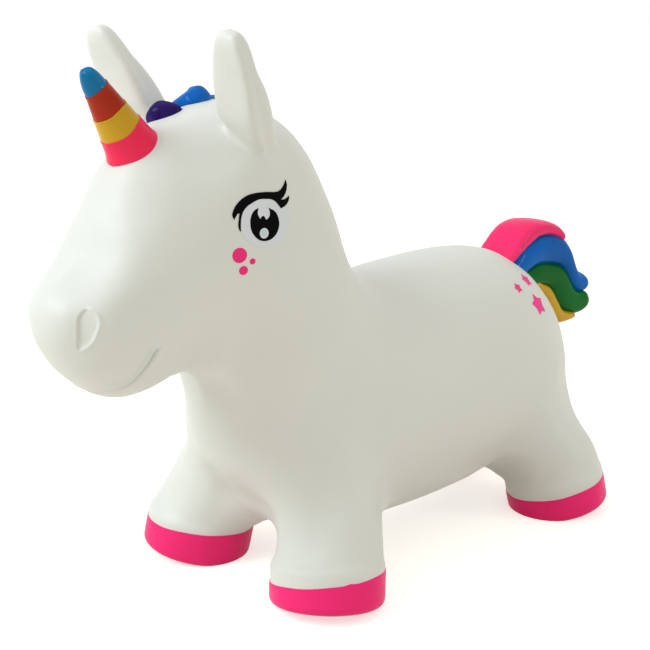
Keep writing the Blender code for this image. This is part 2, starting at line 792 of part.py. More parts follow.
def port_mesh(bottom):
    """The moulded port: a collar through the belly with a seat for the plug's head and a bore for its stem."""
    body = turned([(PORT_WIDTH / 2 - PORT_EDGE, 0.0), (PORT_WIDTH / 2, PORT_EDGE), (PORT_WIDTH / 2, PORT_DEPTH)],
                  bottom, RISE, VALVE_POINTS)
    seat = turned([(PLUG_HEAD_WIDTH / 2 + PLUG_PLAY, -OVERRUN),
                   (PLUG_HEAD_WIDTH / 2 + PLUG_PLAY, PLUG_HEAD)], bottom, RISE, VALVE_POINTS)
    bore = turned([(PLUG_STEM_WIDTH / 2 + PLUG_PLAY, -OVERRUN),
                   (PLUG_STEM_WIDTH / 2 + PLUG_PLAY, PORT_DEPTH + OVERRUN)], bottom, RISE, VALVE_POINTS)
    return less(body, seat, bore)


def plug_mesh():
    """A stopper: a flat head with a rounded edge, and a stem that narrows to its end."""
    head, stem = PLUG_HEAD_WIDTH / 2, PLUG_STEM_WIDTH / 2
    top = PLUG_HEAD - SEAM_GAP
    return turned([(head - PLUG_EDGE, 0.0), (head, PLUG_EDGE), (head, top), (stem, top),
                   (stem, PLUG_LENGTH - PLUG_TAPER), (stem * PLUG_END_SHARE, PLUG_LENGTH)],
                  Vector((0.0, 0.0, 0.0)), RISE, VALVE_POINTS)


def add_piece(name, mesh, paint, origin=None):
    made = new_object(name, mesh)
    made.data.materials.clear()
    made.data.materials.append(paint)
    made.data.shade_smooth()
    made.data.set_sharp_from_angle(angle=math.radians(SHARP_ANGLE))
    made.location = (origin or Vector((0.0, 0.0, 0.0))) + AFT * FRAME_SHIFT_Y
    return made


def build():
    clear_scene()
    paints = {name: material(name, colour, rough) for name, (colour, rough) in PAINTS.items()}
    skin = blended_skin()
    wall = shell(skin, -WALL, 0.0)
    tree = BVHTree.FromPolygons([v.co for v in skin.vertices], [p.vertices for p in skin.polygons])
    add_piece("torso", torso_mesh(wall.copy()), paints["vinyl"])
    add_piece("neck", neck_mesh(wall.copy()), paints["vinyl"])
    add_piece("head", head_mesh(wall.copy()), paints["vinyl"])
    for side, side_name in ((LEFT, "left"), (RIGHT, "right")):
        for end, end_name in ((FRONT, "front"), (REAR, "rear")):
            add_piece(f"{side_name}_{end_name}_leg", leg_mesh(wall.copy(), side, end), paints["vinyl"])
            add_piece(f"{side_name}_{end_name}_hoof", hoof_mesh(side, end), paints["pink"])
        add_piece(f"{side_name}_ear", ear_mesh(side, tree, skin), paints["vinyl"])
    film = within(shell(skin, SEAM_GAP, SEAM_GAP + PRINT_THICK), head_seam(0.0))
    for side, side_name in ((LEFT, "left"), (RIGHT, "right")):
        white, iris, lash = eye_meshes(side, tree, film)
        add_piece(f"{side_name}_eye_white", white, paints["white"])
        add_piece(f"{side_name}_eye_iris", iris, paints["black"])
        add_piece(f"{side_name}_eye_lash", lash, paints["black"])
    bands = [horn_band_mesh(number, tree) for number in range(len(HORN_COLOURS))]
    for (name, paint), band in zip(HORN_COLOURS, bands):
        add_piece(name, seated(band, skin), paints[paint])
    laid = bands[:1]
    for name, paint, width, height, directions in LOCK_SHARES:
        lock = lock_mesh(tree, LOCK_WIDTH * width, LOCK_HEIGHT * height, directions)
        add_piece(name, seated(lock, *laid[-2:], skin), paints[paint])
        laid.append(lock)
    strands = []
    for name, paint, width, thick, curve in TAIL_STRAND_SHARES:
        strand = strand_mesh(width, thick, curve)
        add_piece(name, seated(strand, *strands, skin), paints[paint])
        strands.append(strand)
    bottom = valve_place(tree)
    add_piece("valve_port", port_mesh(bottom), paints["vinyl"])
    add_piece("valve_plug", plug_mesh(), paints["vinyl"], bottom)


build()
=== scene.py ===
import math

import bmesh
import bpy
import numpy as np
from mathutils import Matrix, Vector
from mathutils.bvhtree import BVHTree
from mathutils.geometry import delaunay_2d_cdt


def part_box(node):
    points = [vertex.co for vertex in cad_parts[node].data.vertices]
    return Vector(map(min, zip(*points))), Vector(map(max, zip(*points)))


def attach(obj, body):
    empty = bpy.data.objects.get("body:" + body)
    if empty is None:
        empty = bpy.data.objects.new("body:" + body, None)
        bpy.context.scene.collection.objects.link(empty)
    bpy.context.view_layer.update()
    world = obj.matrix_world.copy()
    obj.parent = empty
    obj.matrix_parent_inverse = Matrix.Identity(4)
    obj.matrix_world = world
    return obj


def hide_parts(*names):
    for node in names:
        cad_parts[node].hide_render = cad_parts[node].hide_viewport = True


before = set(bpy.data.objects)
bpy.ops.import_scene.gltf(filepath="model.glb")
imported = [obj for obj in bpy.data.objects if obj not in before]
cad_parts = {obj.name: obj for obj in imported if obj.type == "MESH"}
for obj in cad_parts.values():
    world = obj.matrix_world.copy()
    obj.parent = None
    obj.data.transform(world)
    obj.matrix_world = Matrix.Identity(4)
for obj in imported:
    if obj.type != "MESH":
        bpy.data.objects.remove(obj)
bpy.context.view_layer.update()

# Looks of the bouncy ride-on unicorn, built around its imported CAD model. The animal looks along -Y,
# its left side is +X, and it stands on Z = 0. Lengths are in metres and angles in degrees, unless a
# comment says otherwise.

SIDE = Vector((1.0, 0.0, 0.0))
AFT = Vector((0.0, 1.0, 0.0))
RISE = Vector((0.0, 0.0, 1.0))
LEFT, RIGHT = 1, -1
FRONT, REAR = -1, 1
SIDES = ((LEFT, "left"), (RIGHT, "right"))
ENDS = ((FRONT, "front"), (REAR, "rear"))
LEGS = [(side, end, f"{name}_{end_name}") for side, name in SIDES for end, end_name in ENDS]
MM = 0.001
REACH = 0.5  # how far off a ray towards the skin starts
SHARP_ANGLE = 50.0  # above which an edge is shaded as one

# Camera, at the photograph's angle
TARGET = Vector((0.0, -0.0545, 0.2211))
CAMERA_AZIMUTH = 45.07
CAMERA_ELEVATION = 13.86
CAMERA_DISTANCE = 1.2906
CAMERA_LENS = 77.31
CAMERA_SENSOR = 36.0

# Light and floor
LIT_PLACE = Vector((0.0, 0.0, 0.22))
# Each lamp: name, place, width, height, watts and colour.
LAMPS = (
    ("key", (-1.1, -2.2, 2.1), 1.8, 1.8, 53.0, (0.82, 0.95, 1.0)),
    ("top", (0.0, 0.0, 2.6), 1.8, 1.8, 2.6, (0.75, 0.88, 1.0)),
    ("strip", (2.0, 1.2, 1.2), 0.07, 1.5, 6.5, (0.85, 1.0, 0.95)),
)
STUDIO_COLOUR = (1.0, 0.96, 0.89, 1.0)
STUDIO_STRENGTH = 0.665
WHITE = (1.0, 1.0, 1.0, 1.0)
FLOOR_COLOUR = (0.82, 0.78, 0.71, 1.0)
FLOOR_GLOW = 0.60  # that lifts the floor to white where it is seen
FLOOR_HALF = 6.0

# Paints
CLOUDS = (14.0, 3.0)  # scale and detail of the noise in the colour
CLOUD_SPAN = (0.30, 0.70)  # of that noise, from the darkest colour to the lightest
GLOSS_CLOUDS = (55.0, 4.0)
GLOSS_SPAN = (0.25, 0.75)
GLOSS_SPREAD = 0.08  # of the roughness, to each side
GRAIN_DETAIL = 3.0
GRAIN_DEPTH = 0.0005
COAT_ROUGHNESS = 0.07
SCATTER_RADIUS = (1.0, 0.9, 0.7)
SCATTER_SCALE = 0.006

# Skin
ROUGH_VOXEL = 0.005
FINE_VOXEL = 0.0022
FACET_PASSES = 16  # that take the CAD's facets out
STEP_PASSES = 5  # that take the fine voxels' steps out
LAST_PASSES = 4  # after the skin is drawn in
RELIEF_PASSES = 6  # about the nostrils and the mouth, before their relief
PULL = 0.5  # share of the way to its neighbours' middle that a point goes in one pass
# Where creases are rounded: place on the left, reach and passes.
ROUNDED = (
    ((0.058, -0.200, 0.397), 0.026, 6),
    ((0.060, -0.222, 0.424), 0.034, 14),
)
ROUNDED_CORE = 0.6  # share of the reach that is rounded in full
# Where the blown skin is drawn in, or let out where the depth is below 0: place on the left, reach
# and depth.
DRAWN_IN = (
    ((0.040, -0.163, 0.072), 0.056, 0.0088),
    ((0.054, 0.136, 0.046), 0.050, 0.0130),
    ((0.100, -0.168, 0.095), 0.066, 0.0150),
    ((0.104, 0.206, 0.108), 0.060, 0.0115),
    ((0.018, -0.213, 0.202), 0.036, 0.0080),
    ((0.014, -0.335, 0.320), 0.050, 0.0095),
    ((0.010, -0.352, 0.246), 0.050, -0.0025),
    ((0.014, -0.280, 0.392), 0.052, -0.0060),
    ((0.008, -0.236, 0.416), 0.056, -0.0045),
    ((0.004, -0.022, 0.2695), 0.066, 0.0060),
    ((0.077, -0.125, 0.328), 0.050, -0.0018),
)

# Legs and hooves, on the CAD's axes
SOLE_Y = {FRONT: -0.1415, REAR: 0.1995}
SOLE_X = 0.0895
LEAN_OUT = 7.0
LEAN_FORE = 9.0
HOOF_RADIUS = 0.051
HOOF_EDGE = 0.008
HOOF_BAND = 0.0285
HOOF_WALL = 0.005
LEG_RADIUS = 0.0503
SOLE_FLAT = 0.008
LEG_TUCK = 0.012  # of the skin into a rebate in the hoof's top
LEG_FIT = 0.015  # above the hoof, over which the skin comes round to the hoof's circle
LEG_FIT_WHOLE = 0.005  # above the hoof, up to which the skin lies on that circle
LEG_RADII = (0.030, 0.075)  # off the leg's axis, between which a low point is on the leg's skin
LEG_FILL = (-0.040, 0.036)  # heights above the sole between which the rough leg is filled
LEG_FILL_POINTS = 48
TRIM_HEIGHT = 0.045  # above the sole, and
TRIM_RADIUS = 0.070  # off the leg's axis, within which the skin is trimmed
SOLE_RING = 0.020  # width of the sole's outer ring
HOOF_FLOOR_RADIUS = 0.020
HOOF_STRAIGHT = 0.014  # height above which the hoof's wall follows its wavy edge
HOOF_STEPS = 8  # round the lower edge
HOOF_PLAY = 0.0001  # between the hoof's lip and the skin in it
SEAT_PLAY = 0.0004  # below the skin's trimmed end
HOOF_RIM = ((0.0, 0.0008, 0.96), (0.0001, 0.0003, 1.0), (0.0003, 0.0, 1.0))  # in, down, waved
# How the sprayed edge runs on each hoof: how far it is lowered, how far it tilts, the compass angle
# of its highest point and that of its drip.
HOOF_EDGES = {
    "left_front": (0.0018, 0.0062, 55.0, -22.0),
    "right_front": (-0.0018, 0.0040, 20.0, 210.0),
    "left_rear": (0.0022, 0.0020, 20.0, 100.0),
    "right_rear": (0.0010, 0.0020, 160.0, -100.0),
}
# Ripples of that edge: height, number round the hoof, and how the drip's angle shifts them.
HOOF_RIPPLES = ((0.0003, 3, 1), (0.0002, 7, -1))
DRIP_DEPTH = 0.0012
DRIP_WIDTH = 0.07  # in radians
ROUND_POINTS = 96

# Ears, over the CAD's
EAR_ROOT = Vector((0.0579, -0.2002, 0.3933))
EAR_LENGTH = 0.1105
EAR_WIDTH = 0.045
EAR_DEPTH = 0.024
EAR_LEAN_OUT = 15.0
EAR_LEAN_FORE = 21.0
# Each station: place up the ear, then width, depth, how full its front is, and how far it leans
# forward.
EAR_STATIONS = (
    (0.00, 0.62, 0.80, 0.30, -0.34),
    (0.22, 1.02, 1.02, 0.80, 0.03),
    (0.38, 1.08, 1.08, 1.10, 0.14),
    (0.54, 1.04, 0.94, 1.15, 0.14),
    (0.70, 0.94, 0.68, 1.30, 0.14),
    (0.84, 0.79, 0.60, 1.40, 0.14),
    (0.94, 0.60, 0.52, 1.30, 0.14),
    (1.00, 0.34, 0.32, 1.00, 0.12),
)
EAR_SLICES = 5  # from one station to the next
# Section of half an ear from the middle of its front round its fold to the middle of its back, as
# shares of its half width and of its depth.
EAR_SECTION = ((0.00, -0.26), (0.45, -0.25), (0.80, -0.21), (0.96, -0.13), (0.99, -0.02),
               (0.93, 0.09), (0.85, 0.20), (0.82, 0.34), (0.85, 0.50), (0.80, 0.68), (0.60, 0.86),
               (0.30, 0.96), (0.00, 1.00))
EAR_SECTION_SLICES = 4
EAR_INNER = (0.05, 0.36)  # shares of its height over which its inner side comes out of the head
EAR_INNER_LEAST = 0.45  # of its width, on the inner side at its foot
EAR_INNER_FADE = (0.05, 0.55)  # shares of its depth over which that narrowing dies out

# Nostril: outline of the left one in millimetres, across and up from its middle on the muzzle
NOSTRIL = Vector((0.0362, -0.3445, 0.2756))
NOSTRIL_OUT = Vector((0.622, -0.783, 0.0))
NOSTRIL_OUTLINE = ((-2.3, 13.8), (-6.6, 8.9), (-7.8, 1.4), (-7.9, -6.8), (-8.6, -16.5),
                   (-2.4, -16.2), (4.7, -10.4), (9.3, -0.9), (10.4, 5.4), (8.1, 11.0), (2.9, 14.0))
NOSTRIL_DEPTH = 0.0026
NOSTRIL_WALL = (-0.0003, 0.0017)  # across its steep fore edge
NOSTRIL_BOW = 0.8  # below 1 its floor bows down
NOSTRIL_RIM = 0.0010
NOSTRIL_RIM_WIDTH = 0.0016
NOSTRIL_RIM_START = (0.002, 0.006)  # from the fore edge
NOSTRIL_LAST_FORE = 4  # last corner of the outline on the fore edge
NOSTRIL_SLICES = 6
NOSTRIL_REACH = 0.045  # within which the relief is worked out
NOSTRIL_RADIUS = 0.014  # round which the skin gets finer faces

# Mouth: places on the left half, in millimetres, from under the chin to the corner
MOUTH = ((0.0, -326.0, 213.0), (15.0, -323.5, 215.0), (29.6, -317.4, 220.9), (34.1, -311.0, 223.5),
         (41.0, -306.3, 229.4), (46.1, -303.5, 235.2), (49.2, -300.9, 240.0), (51.6, -297.6, 245.9),
         (53.2, -295.4, 250.5), (54.6, -291.5, 253.3), (54.9, -286.8, 253.6))
LIP_RISE = 0.0024
LIP_GROOVE = 0.0056
LIP_WIDTH = 0.0022
LIP_MIDDLE = 0.0019  # from the mouth's line up to the lip's crest, and down to the groove's floor
MOUTH_SLICES = 5
MOUTH_CHIN = 0.20  # share of the relief that is left under the chin
MOUTH_GROWS = (0.30, 0.55)  # shares of the mouth's length over which the relief grows
MOUTH_DIES = (0.86, 1.0)
RELIEF_REACHES = (0.014, 0.010)  # off the mouth's line, for each step of finer faces
RELIEF_SOFT = (0.004, 0.009)  # from the relief, over which the smoothing of those faces dies out

# Valve port: the skin about it is flat, and has a well in it for the port's rim
PORT_FLAT = (0.016, 0.034)  # from its middle: flat up to the first, untouched past the second
PORT_UNDER = 0.06  # height below which the skin is the belly's
PORT_SUNK = 0.0004
WELL_RADIUS = 0.0133
WELL_BELOW = 0.02  # the port
WELL_ABOVE = 0.0003
WELL_POINTS = 64


# Materials


def linear(code):
    """Linear colour of a six-digit display colour."""
    values = [part / 255 for part in bytes.fromhex(code)]
    return tuple(v / 12.92 if v <= 0.04045 else ((v + 0.055) / 1.055) ** 2.4 for v in values)


def paint(name, code, roughness, coat, specular, grain=300.0, streak=0.10, bump=0.10, soft=0.0):
    """A painted or moulded vinyl: faint clouds in its colour and gloss, and a fine grain."""
    made = bpy.data.materials.new(name)
    made.use_nodes = True
    nodes, links = made.node_tree.nodes, made.node_tree.links
    shader = nodes["Principled BSDF"]
    shader.inputs["Specular IOR Level"].default_value = specular
    shader.inputs["Coat Weight"].default_value = coat
    shader.inputs["Coat Roughness"].default_value = COAT_ROUGHNESS
    if soft:
        shader.inputs["Subsurface Weight"].default_value = soft
        shader.inputs["Subsurface Radius"].default_value = SCATTER_RADIUS
        shader.inputs["Subsurface Scale"].default_value = SCATTER_SCALE
    place = nodes.new("ShaderNodeTexCoord").outputs["Object"]

    def noise(scale, detail):
        made_noise = nodes.new("ShaderNodeTexNoise")
        made_noise.inputs["Scale"].default_value = scale
        made_noise.inputs["Detail"].default_value = detail
        links.new(place, made_noise.inputs["Vector"])
        return made_noise.outputs["Fac"]

    ramp = nodes.new("ShaderNodeValToRGB")
    colour = linear(code)
    ends = ramp.color_ramp.elements
    ends[0].position, ends[1].position = CLOUD_SPAN
    ends[0].color = (*[v * (1 - streak) for v in colour], 1.0)
    ends[1].color = (*[min(1.0, v * (1 + streak / 2)) for v in colour], 1.0)
    links.new(noise(*CLOUDS), ramp.inputs["Fac"])
    links.new(ramp.outputs["Color"], shader.inputs["Base Color"])
    gloss = nodes.new("ShaderNodeMapRange")
    gloss.inputs["From Min"].default_value, gloss.inputs["From Max"].default_value = GLOSS_SPAN
    gloss.inputs["To Min"].default_value = roughness - GLOSS_SPREAD
    gloss.inputs["To Max"].default_value = roughness + GLOSS_SPREAD
    links.new(noise(*GLOSS_CLOUDS), gloss.inputs["Value"])
    links.new(gloss.outputs["Result"], shader.inputs["Roughness"])
    relief = nodes.new("ShaderNodeBump")
    relief.inputs["Strength"].default_value = bump
    relief.inputs["Distance"].default_value = GRAIN_DEPTH
    links.new(noise(grain, GRAIN_DETAIL), relief.inputs["Height"])
    links.new(relief.outputs["Normal"], shader.inputs["Normal"])
    return made


def ink(name, code, streak, specular):
    """A matt print."""
    return paint(name, code, 0.50, 0.0, specular, grain=700.0, streak=streak, bump=0.05)


PAINTS = {
    "vinyl": paint("vinyl_white", "E0E1DC", 0.46, 0.0, 0.40, 900.0, streak=0.015, bump=0.08,
                   soft=0.10),
    "hoof": paint("hoof_paint", "FF2E7C", 0.42, 0.0, 0.12, 420.0),
    "rose": paint("rose_paint", "F82E5A", 0.34, 0.14, 0.05),
    "pink": paint("pink_paint", "FF3274", 0.36, 0.12, 0.05),
    "yellow": paint("yellow_paint", "D2A420", 0.28, 0.20, 0.05),
    "orange": paint("orange_paint", "B82C04", 0.26, 0.24, 0.02, streak=0.25),
    "sky": paint("sky_paint", "0578B0", 0.26, 0.24, 0.03, streak=0.25),
    "blue": paint("blue_paint", "0266C2", 0.28, 0.22, 0.0, streak=0.22),
    "green": paint("green_paint", "086A24", 0.28, 0.20, 0.0, streak=0.18),
    "purple": paint("purple_paint", "2A1264", 0.24, 0.16, 0.0, streak=0.25),
    "print_white": ink("print_white", "E0E4EC", 0.03, 0.10),
    "print_pale": ink("print_pale", "CDDDE6", 0.03, 0.10),
    "print_black": ink("print_black", "08060A", 0.20, 0.03),
    "print_pink": ink("print_pink", "FF3A86", 0.10, 0.06),
    # The stars' ink is the dots' pink made lighter: painted light for the upward-facing rump, where
    # more light falls.
    "print_pink_painted_light": ink("print_pink_painted_light", "FF4E9A", 0.10, 0.06),
    "valve": paint("valve_vinyl", "D0D1C9", 0.40, 0.05, 0.40, 600.0, streak=0.04, bump=0.12),
}


# Meshes


def mesh_from(bm):
    bmesh.ops.recalc_face_normals(bm, faces=bm.faces)
    mesh = bpy.data.meshes.new("shape")
    bm.to_mesh(mesh)
    bm.free()
    return mesh


def add_object(name, data):
    made = bpy.data.objects.new(name, data)
    bpy.context.scene.collection.objects.link(made)
    return made


def add_piece(name, mesh, paint_name, replaced=()):
    """A visible piece that moves with the body, in the place of the CAD nodes that it replaces."""
    mesh.materials.clear()
    mesh.materials.append(PAINTS[paint_name])
    mesh.shade_smooth()
    mesh.set_sharp_from_angle(angle=math.radians(SHARP_ANGLE))
    piece = add_object(name, mesh)
    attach(piece, "body")
    if replaced:
        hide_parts(*replaced)
    return piece


def with_modifier(mesh, kind, **settings):
    """The mesh with one modifier worked out."""
    made = add_object("helper", mesh)
    modifier = made.modifiers.new("modifier", kind)
    for key, value in settings.items():
        setattr(modifier, key, value)
    graph = bpy.context.evaluated_depsgraph_get()
    result = bpy.data.meshes.new_from_object(made.evaluated_get(graph))
    bpy.data.objects.remove(made)
    return result


def cut_out(mesh, cutter_mesh):
    cutter = add_object("cutter", cutter_mesh)
    result = with_modifier(mesh, "BOOLEAN", object=cutter, operation="DIFFERENCE", solver="EXACT")
    bpy.data.objects.remove(cutter)
    return result


def tree_of(mesh):
    return BVHTree.FromPolygons([v.co for v in mesh.vertices], [p.vertices for p in mesh.polygons])


def values_of(items, key, width, kind=float):
    """A row of numbers for each item of a mesh."""
    values = np.empty(len(items) * width, kind)
    items.foreach_get(key, values)
    return values.reshape(-1, width)


def points_of(mesh):
    return values_of(mesh.vertices, "co", 3)


def edges_of(mesh):
    return values_of(mesh.edges, "vertices", 2, np.int32)


def put_points(mesh, points):
    mesh.vertices.foreach_set("co", np.asarray(points, np.float32).ravel())
    mesh.update()


def distances(points, place):
    return np.linalg.norm(points - np.array(place), axis=1)


def relaxed(points, edges, passes, weights=PULL):
    """Each point moved towards the middle of its neighbours, again and again."""
    first, second = np.concatenate([edges, edges[:, ::-1]]).T
    size = len(points)
    count = np.bincount(first, minlength=size)[:, None].clip(1)
    weights = np.broadcast_to(np.asarray(weights, float).reshape(-1, 1), (size, 1))
    for _ in range(passes):
        totals = [np.bincount(first, points[second, axis], size) for axis in range(3)]
        points = points + weights * (np.stack(totals, axis=1) / count - points)
    return points


def smoothed(points, edges, passes, weights=PULL):
    """Relaxed, without the shrinking that it brings to broad shapes."""
    once = relaxed(points, edges, passes, weights)
    return 2 * once - relaxed(once, edges, passes, weights)


def smoothstep(values, low, high):
    """0 up to the low value, 1 from the high one on, and a smooth rise between them."""
    share = np.clip((values - low) / (high - low), 0, 1)
    return share * share * (3 - 2 * share)


def smooth_path(points, slices, closed=False):
    """Points along a smooth curve through the given ones, with as many steps in each stretch."""
    points = [Vector(point) for point in points]
    size = len(points)
    path = []
    for number in range(size if closed else size - 1):
        around = (number - 1, number, number + 1, number + 2)
        wanted = [place % size if closed else min(max(place, 0), size - 1) for place in around]
        before, start, end, after = (points[place] for place in wanted)
        for step in range(slices):
            share = step / slices
            bend = (end - before) * share
            bend += (2 * before - 5 * start + 4 * end - after) * share ** 2
            bend += (3 * start - before - 3 * end + after) * share ** 3
            path.append(start + bend / 2)
    if not closed:
        path.append(points[-1])
    return path


def smooth_outline(points, slices):
    """A smooth path in two dimensions, as pairs."""
    return [tuple(point[:2]) for point in smooth_path([(u, v, 0.0) for u, v in points], slices)]


def smooth_rows(rows, slices):
    """The rows of a table of five numbers, with smooth steps between them."""
    heads = smooth_path([row[:3] for row in rows], slices)
    tails = smooth_path([(*row[3:], 0.0) for row in rows], slices)
    return [(*head, *tail[:2]) for head, tail in zip(heads, tails)]


def add_loft(bm, rings):
    rows = [[bm.verts.new(point) for point in points] for points in rings]
    count = len(rows[0])
    for row, after in zip(rows, rows[1:]):
        for step in range(count):
            other = (step + 1) % count
            bm.faces.new((row[step], row[other], after[other], after[step]))
    bm.faces.new(rows[0])
    bm.faces.new(rows[-1])


def loft(rings):
    bm = bmesh.new()
    add_loft(bm, rings)
    return mesh_from(bm)


def turns(count):
    """The angles of a full turn in equal steps."""
    return [math.tau * step / count for step in range(count)]


def turned_rings(profile, base, axis, count, wave=None):
    """Rings about an axis from (radius, height, share of the wave) points.

    The wave lifts a ring by the compass angle at which it looks.
    """
    across = axis.orthogonal().normalized()
    along = axis.cross(across)
    rings = []
    for radius, height, waved in profile:
        ring = []
        for angle in turns(count):
            radial = across * math.cos(angle) + along * math.sin(angle)
            lift = height + (wave(math.atan2(radial.y, radial.x)) * waved if wave else 0.0)
            ring.append(base + axis * lift + radial * radius)
        rings.append(ring)
    return rings


def rod(low, high, radius, base, axis, count):
    """Both end rings of a straight rod."""
    return turned_rings([(radius, low, 0.0), (radius, high, 0.0)], base, axis, count)


# Legs and hooves


def leg_axis(side, end):
    out, fore = math.tan(math.radians(LEAN_OUT)), math.tan(math.radians(LEAN_FORE))
    return Vector((-side * out, -end * fore, 1.0)).normalized()


def sole_centre(side, end):
    axis = leg_axis(side, end)
    drop = (HOOF_RADIUS - HOOF_EDGE) * math.hypot(axis.x, axis.y)
    return Vector((side * SOLE_X, SOLE_Y[end], drop - SOLE_FLAT))


def hoof_wave(lowered, tilt, highest, drip_at):
    """The hand-sprayed edge by compass angle: a tilt, slow ripples and one small drip."""
    highest, drip_at = math.radians(highest), math.radians(drip_at)

    def wave(angle):
        off = math.remainder(angle - drip_at, math.tau)
        drip = DRIP_DEPTH * math.exp(-(off / DRIP_WIDTH) ** 2)
        ripples = sum(h * math.sin(n * angle + shift * drip_at) for h, n, shift in HOOF_RIPPLES)
        return tilt * math.cos(angle - highest) - lowered + ripples + drip

    return wave


def hoof_mesh(side, end, wave):
    """A cup with a rounded lower edge, pressed flat on the ground and thinned over the skin."""
    inner = HOOF_RADIUS - HOOF_EDGE
    profile = [(inner - SOLE_RING, 0.0, 0.0), (inner, 0.0, 0.0)]
    for step in range(1, HOOF_STEPS + 1):
        angle = math.pi / 2 * step / HOOF_STEPS
        profile.append((HOOF_RADIUS - HOOF_EDGE * (1 - math.sin(angle)),
                        HOOF_EDGE * (1 - math.cos(angle)), 0.0))
    lip, well = LEG_RADIUS + HOOF_PLAY, HOOF_RADIUS - HOOF_WALL
    seat, floor = HOOF_BAND - LEG_TUCK - SEAT_PLAY, HOOF_EDGE + HOOF_WALL
    profile.append((HOOF_RADIUS, HOOF_STRAIGHT, 0.0))
    profile += [(HOOF_RADIUS - inset, HOOF_BAND - down, waved) for inset, down, waved in HOOF_RIM]
    profile += [(lip, HOOF_BAND, 1.0), (lip, seat, 0.0), (well, seat, 0.0), (well, floor, 0.0),
                (HOOF_FLOOR_RADIUS, floor, 0.0)]
    rings = turned_rings(profile, sole_centre(side, end), leg_axis(side, end), ROUND_POINTS, wave)
    for ring in rings:
        for point in ring:
            point.z = max(point.z, 0.0)
    return loft(rings)


# Ears


def ear_rings(side):
    """A full leaf with a broad front, a fold down each side behind its rim, and a rounded back."""
    out, fore = math.tan(math.radians(EAR_LEAN_OUT)), math.tan(math.radians(EAR_LEAN_FORE))
    rise = Vector((side * out, -fore, 1.0)).normalized()
    front = (-AFT - rise * rise.dot(-AFT)).normalized()
    across = rise.cross(front)
    root = Vector((side * EAR_ROOT.x, *EAR_ROOT.yz))
    half = smooth_outline(EAR_SECTION, EAR_SECTION_SLICES)
    section = half + [(-u, v) for u, v in half[-2:0:-1]]
    rings = []
    for along, width, depth, full, lean in smooth_rows(EAR_STATIONS, EAR_SLICES):
        centre = root + rise * EAR_LENGTH * along + front * EAR_DEPTH * lean
        grown = float(smoothstep(along, *EAR_INNER))
        inner = EAR_INNER_LEAST + (1 - EAR_INNER_LEAST) * grown
        points = []
        for u, v in section:
            back = EAR_DEPTH * depth * v * (full if v < 0 else 1.0)
            if u * side * across.x < 0:
                u *= inner + (1 - inner) * float(smoothstep(v, *EAR_INNER_FADE))
            points.append(centre + across * EAR_WIDTH / 2 * width * u - front * back)
        rings.append(points)
    return rings


# The skin


def folded_left(points):
    """The points with the right half folded onto the left, for what both halves have."""
    folded = points.copy()
    folded[:, 0] = abs(folded[:, 0])
    return folded


def rough_skin():
    """The CAD's blown skin, with its seams grown together and its facets smoothed."""
    bm = bmesh.new()
    for name in ("torso", "neck", "head", "valve_port", "valve_plug"):
        bm.from_mesh(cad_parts[name].data)
    for side, end, name in LEGS:
        bm.from_mesh(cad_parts[f"{name}_leg"].data)
        add_loft(bm, rod(*LEG_FILL, LEG_RADIUS, sole_centre(side, end), leg_axis(side, end),
                         LEG_FILL_POINTS))
    mesh = with_modifier(mesh_from(bm), "REMESH", mode="VOXEL", voxel_size=ROUGH_VOXEL)
    put_points(mesh, smoothed(points_of(mesh), edges_of(mesh), FACET_PASSES))
    return with_modifier(mesh, "SUBSURF", levels=1)


def grown_skin():
    """The skin with its ears, its creases rounded, drawn in here and let out there."""
    bm = bmesh.new()
    bm.from_mesh(rough_skin())
    for side in (LEFT, RIGHT):
        add_loft(bm, ear_rings(side))
    mesh = with_modifier(mesh_from(bm), "REMESH", mode="VOXEL", voxel_size=FINE_VOXEL)
    points, edges = points_of(mesh), edges_of(mesh)
    points = smoothed(points, edges, STEP_PASSES)
    for place, reach, passes in ROUNDED:
        far = smoothstep(distances(folded_left(points), place), reach * ROUNDED_CORE, reach)
        points = relaxed(points, edges, passes, PULL * (1 - far))
    put_points(mesh, points)
    normals = values_of(mesh.vertices, "normal", 3)
    for place, reach, depth in DRAWN_IN:
        near = 1 - smoothstep(distances(folded_left(points), place), 0.0, reach)
        points = points - normals * (depth * near)[:, None]
    put_points(mesh, relaxed(points, edges, LAST_PASSES))
    return mesh


def fit_legs(points):
    """Each leg brought round to its hoof's circle."""
    for side, end, _ in LEGS:
        axis, base = np.array(leg_axis(side, end)), np.array(sole_centre(side, end))
        height = (points - base) @ axis
        radial = points - base - height[:, None] * axis
        radius = np.linalg.norm(radial, axis=1)
        near = (radius > LEG_RADII[0]) & (radius < LEG_RADII[1])
        near &= (height > 0) & (height < HOOF_BAND + LEG_FIT)
        share = 1 - smoothstep(height, HOOF_BAND + LEG_FIT_WHOLE, HOOF_BAND + LEG_FIT)
        move = (LEG_RADIUS - radius) * share * near
        points = points + radial / radius[:, None].clip(1e-6) * move[:, None]
    return points


def trim_legs(bm):
    """The skin below each hoof's rebate cut away and closed."""
    for side, end, _ in LEGS:
        axis, base = leg_axis(side, end), sole_centre(side, end)
        near = set()
        for vert in bm.verts:
            height = (vert.co - base).dot(axis)
            if height < TRIM_HEIGHT and (vert.co - base - axis * height).length < TRIM_RADIUS:
                near.add(vert)
        faces = [face for face in bm.faces if near.issuperset(face.verts)]
        # In a fixed order, so that each run gives the same mesh.
        edges = dict.fromkeys(edge for face in faces for edge in face.edges)
        verts = dict.fromkeys(vert for face in faces for vert in face.verts)
        cut = bmesh.ops.bisect_plane(
            bm, geom=[*verts, *edges, *faces], plane_co=base + axis * (HOOF_BAND - LEG_TUCK),
            plane_no=axis, clear_inner=True)
        rim = [item for item in cut["geom_cut"] if isinstance(item, bmesh.types.BMEdge)]
        bmesh.ops.edgeloop_fill(bm, edges=rim)


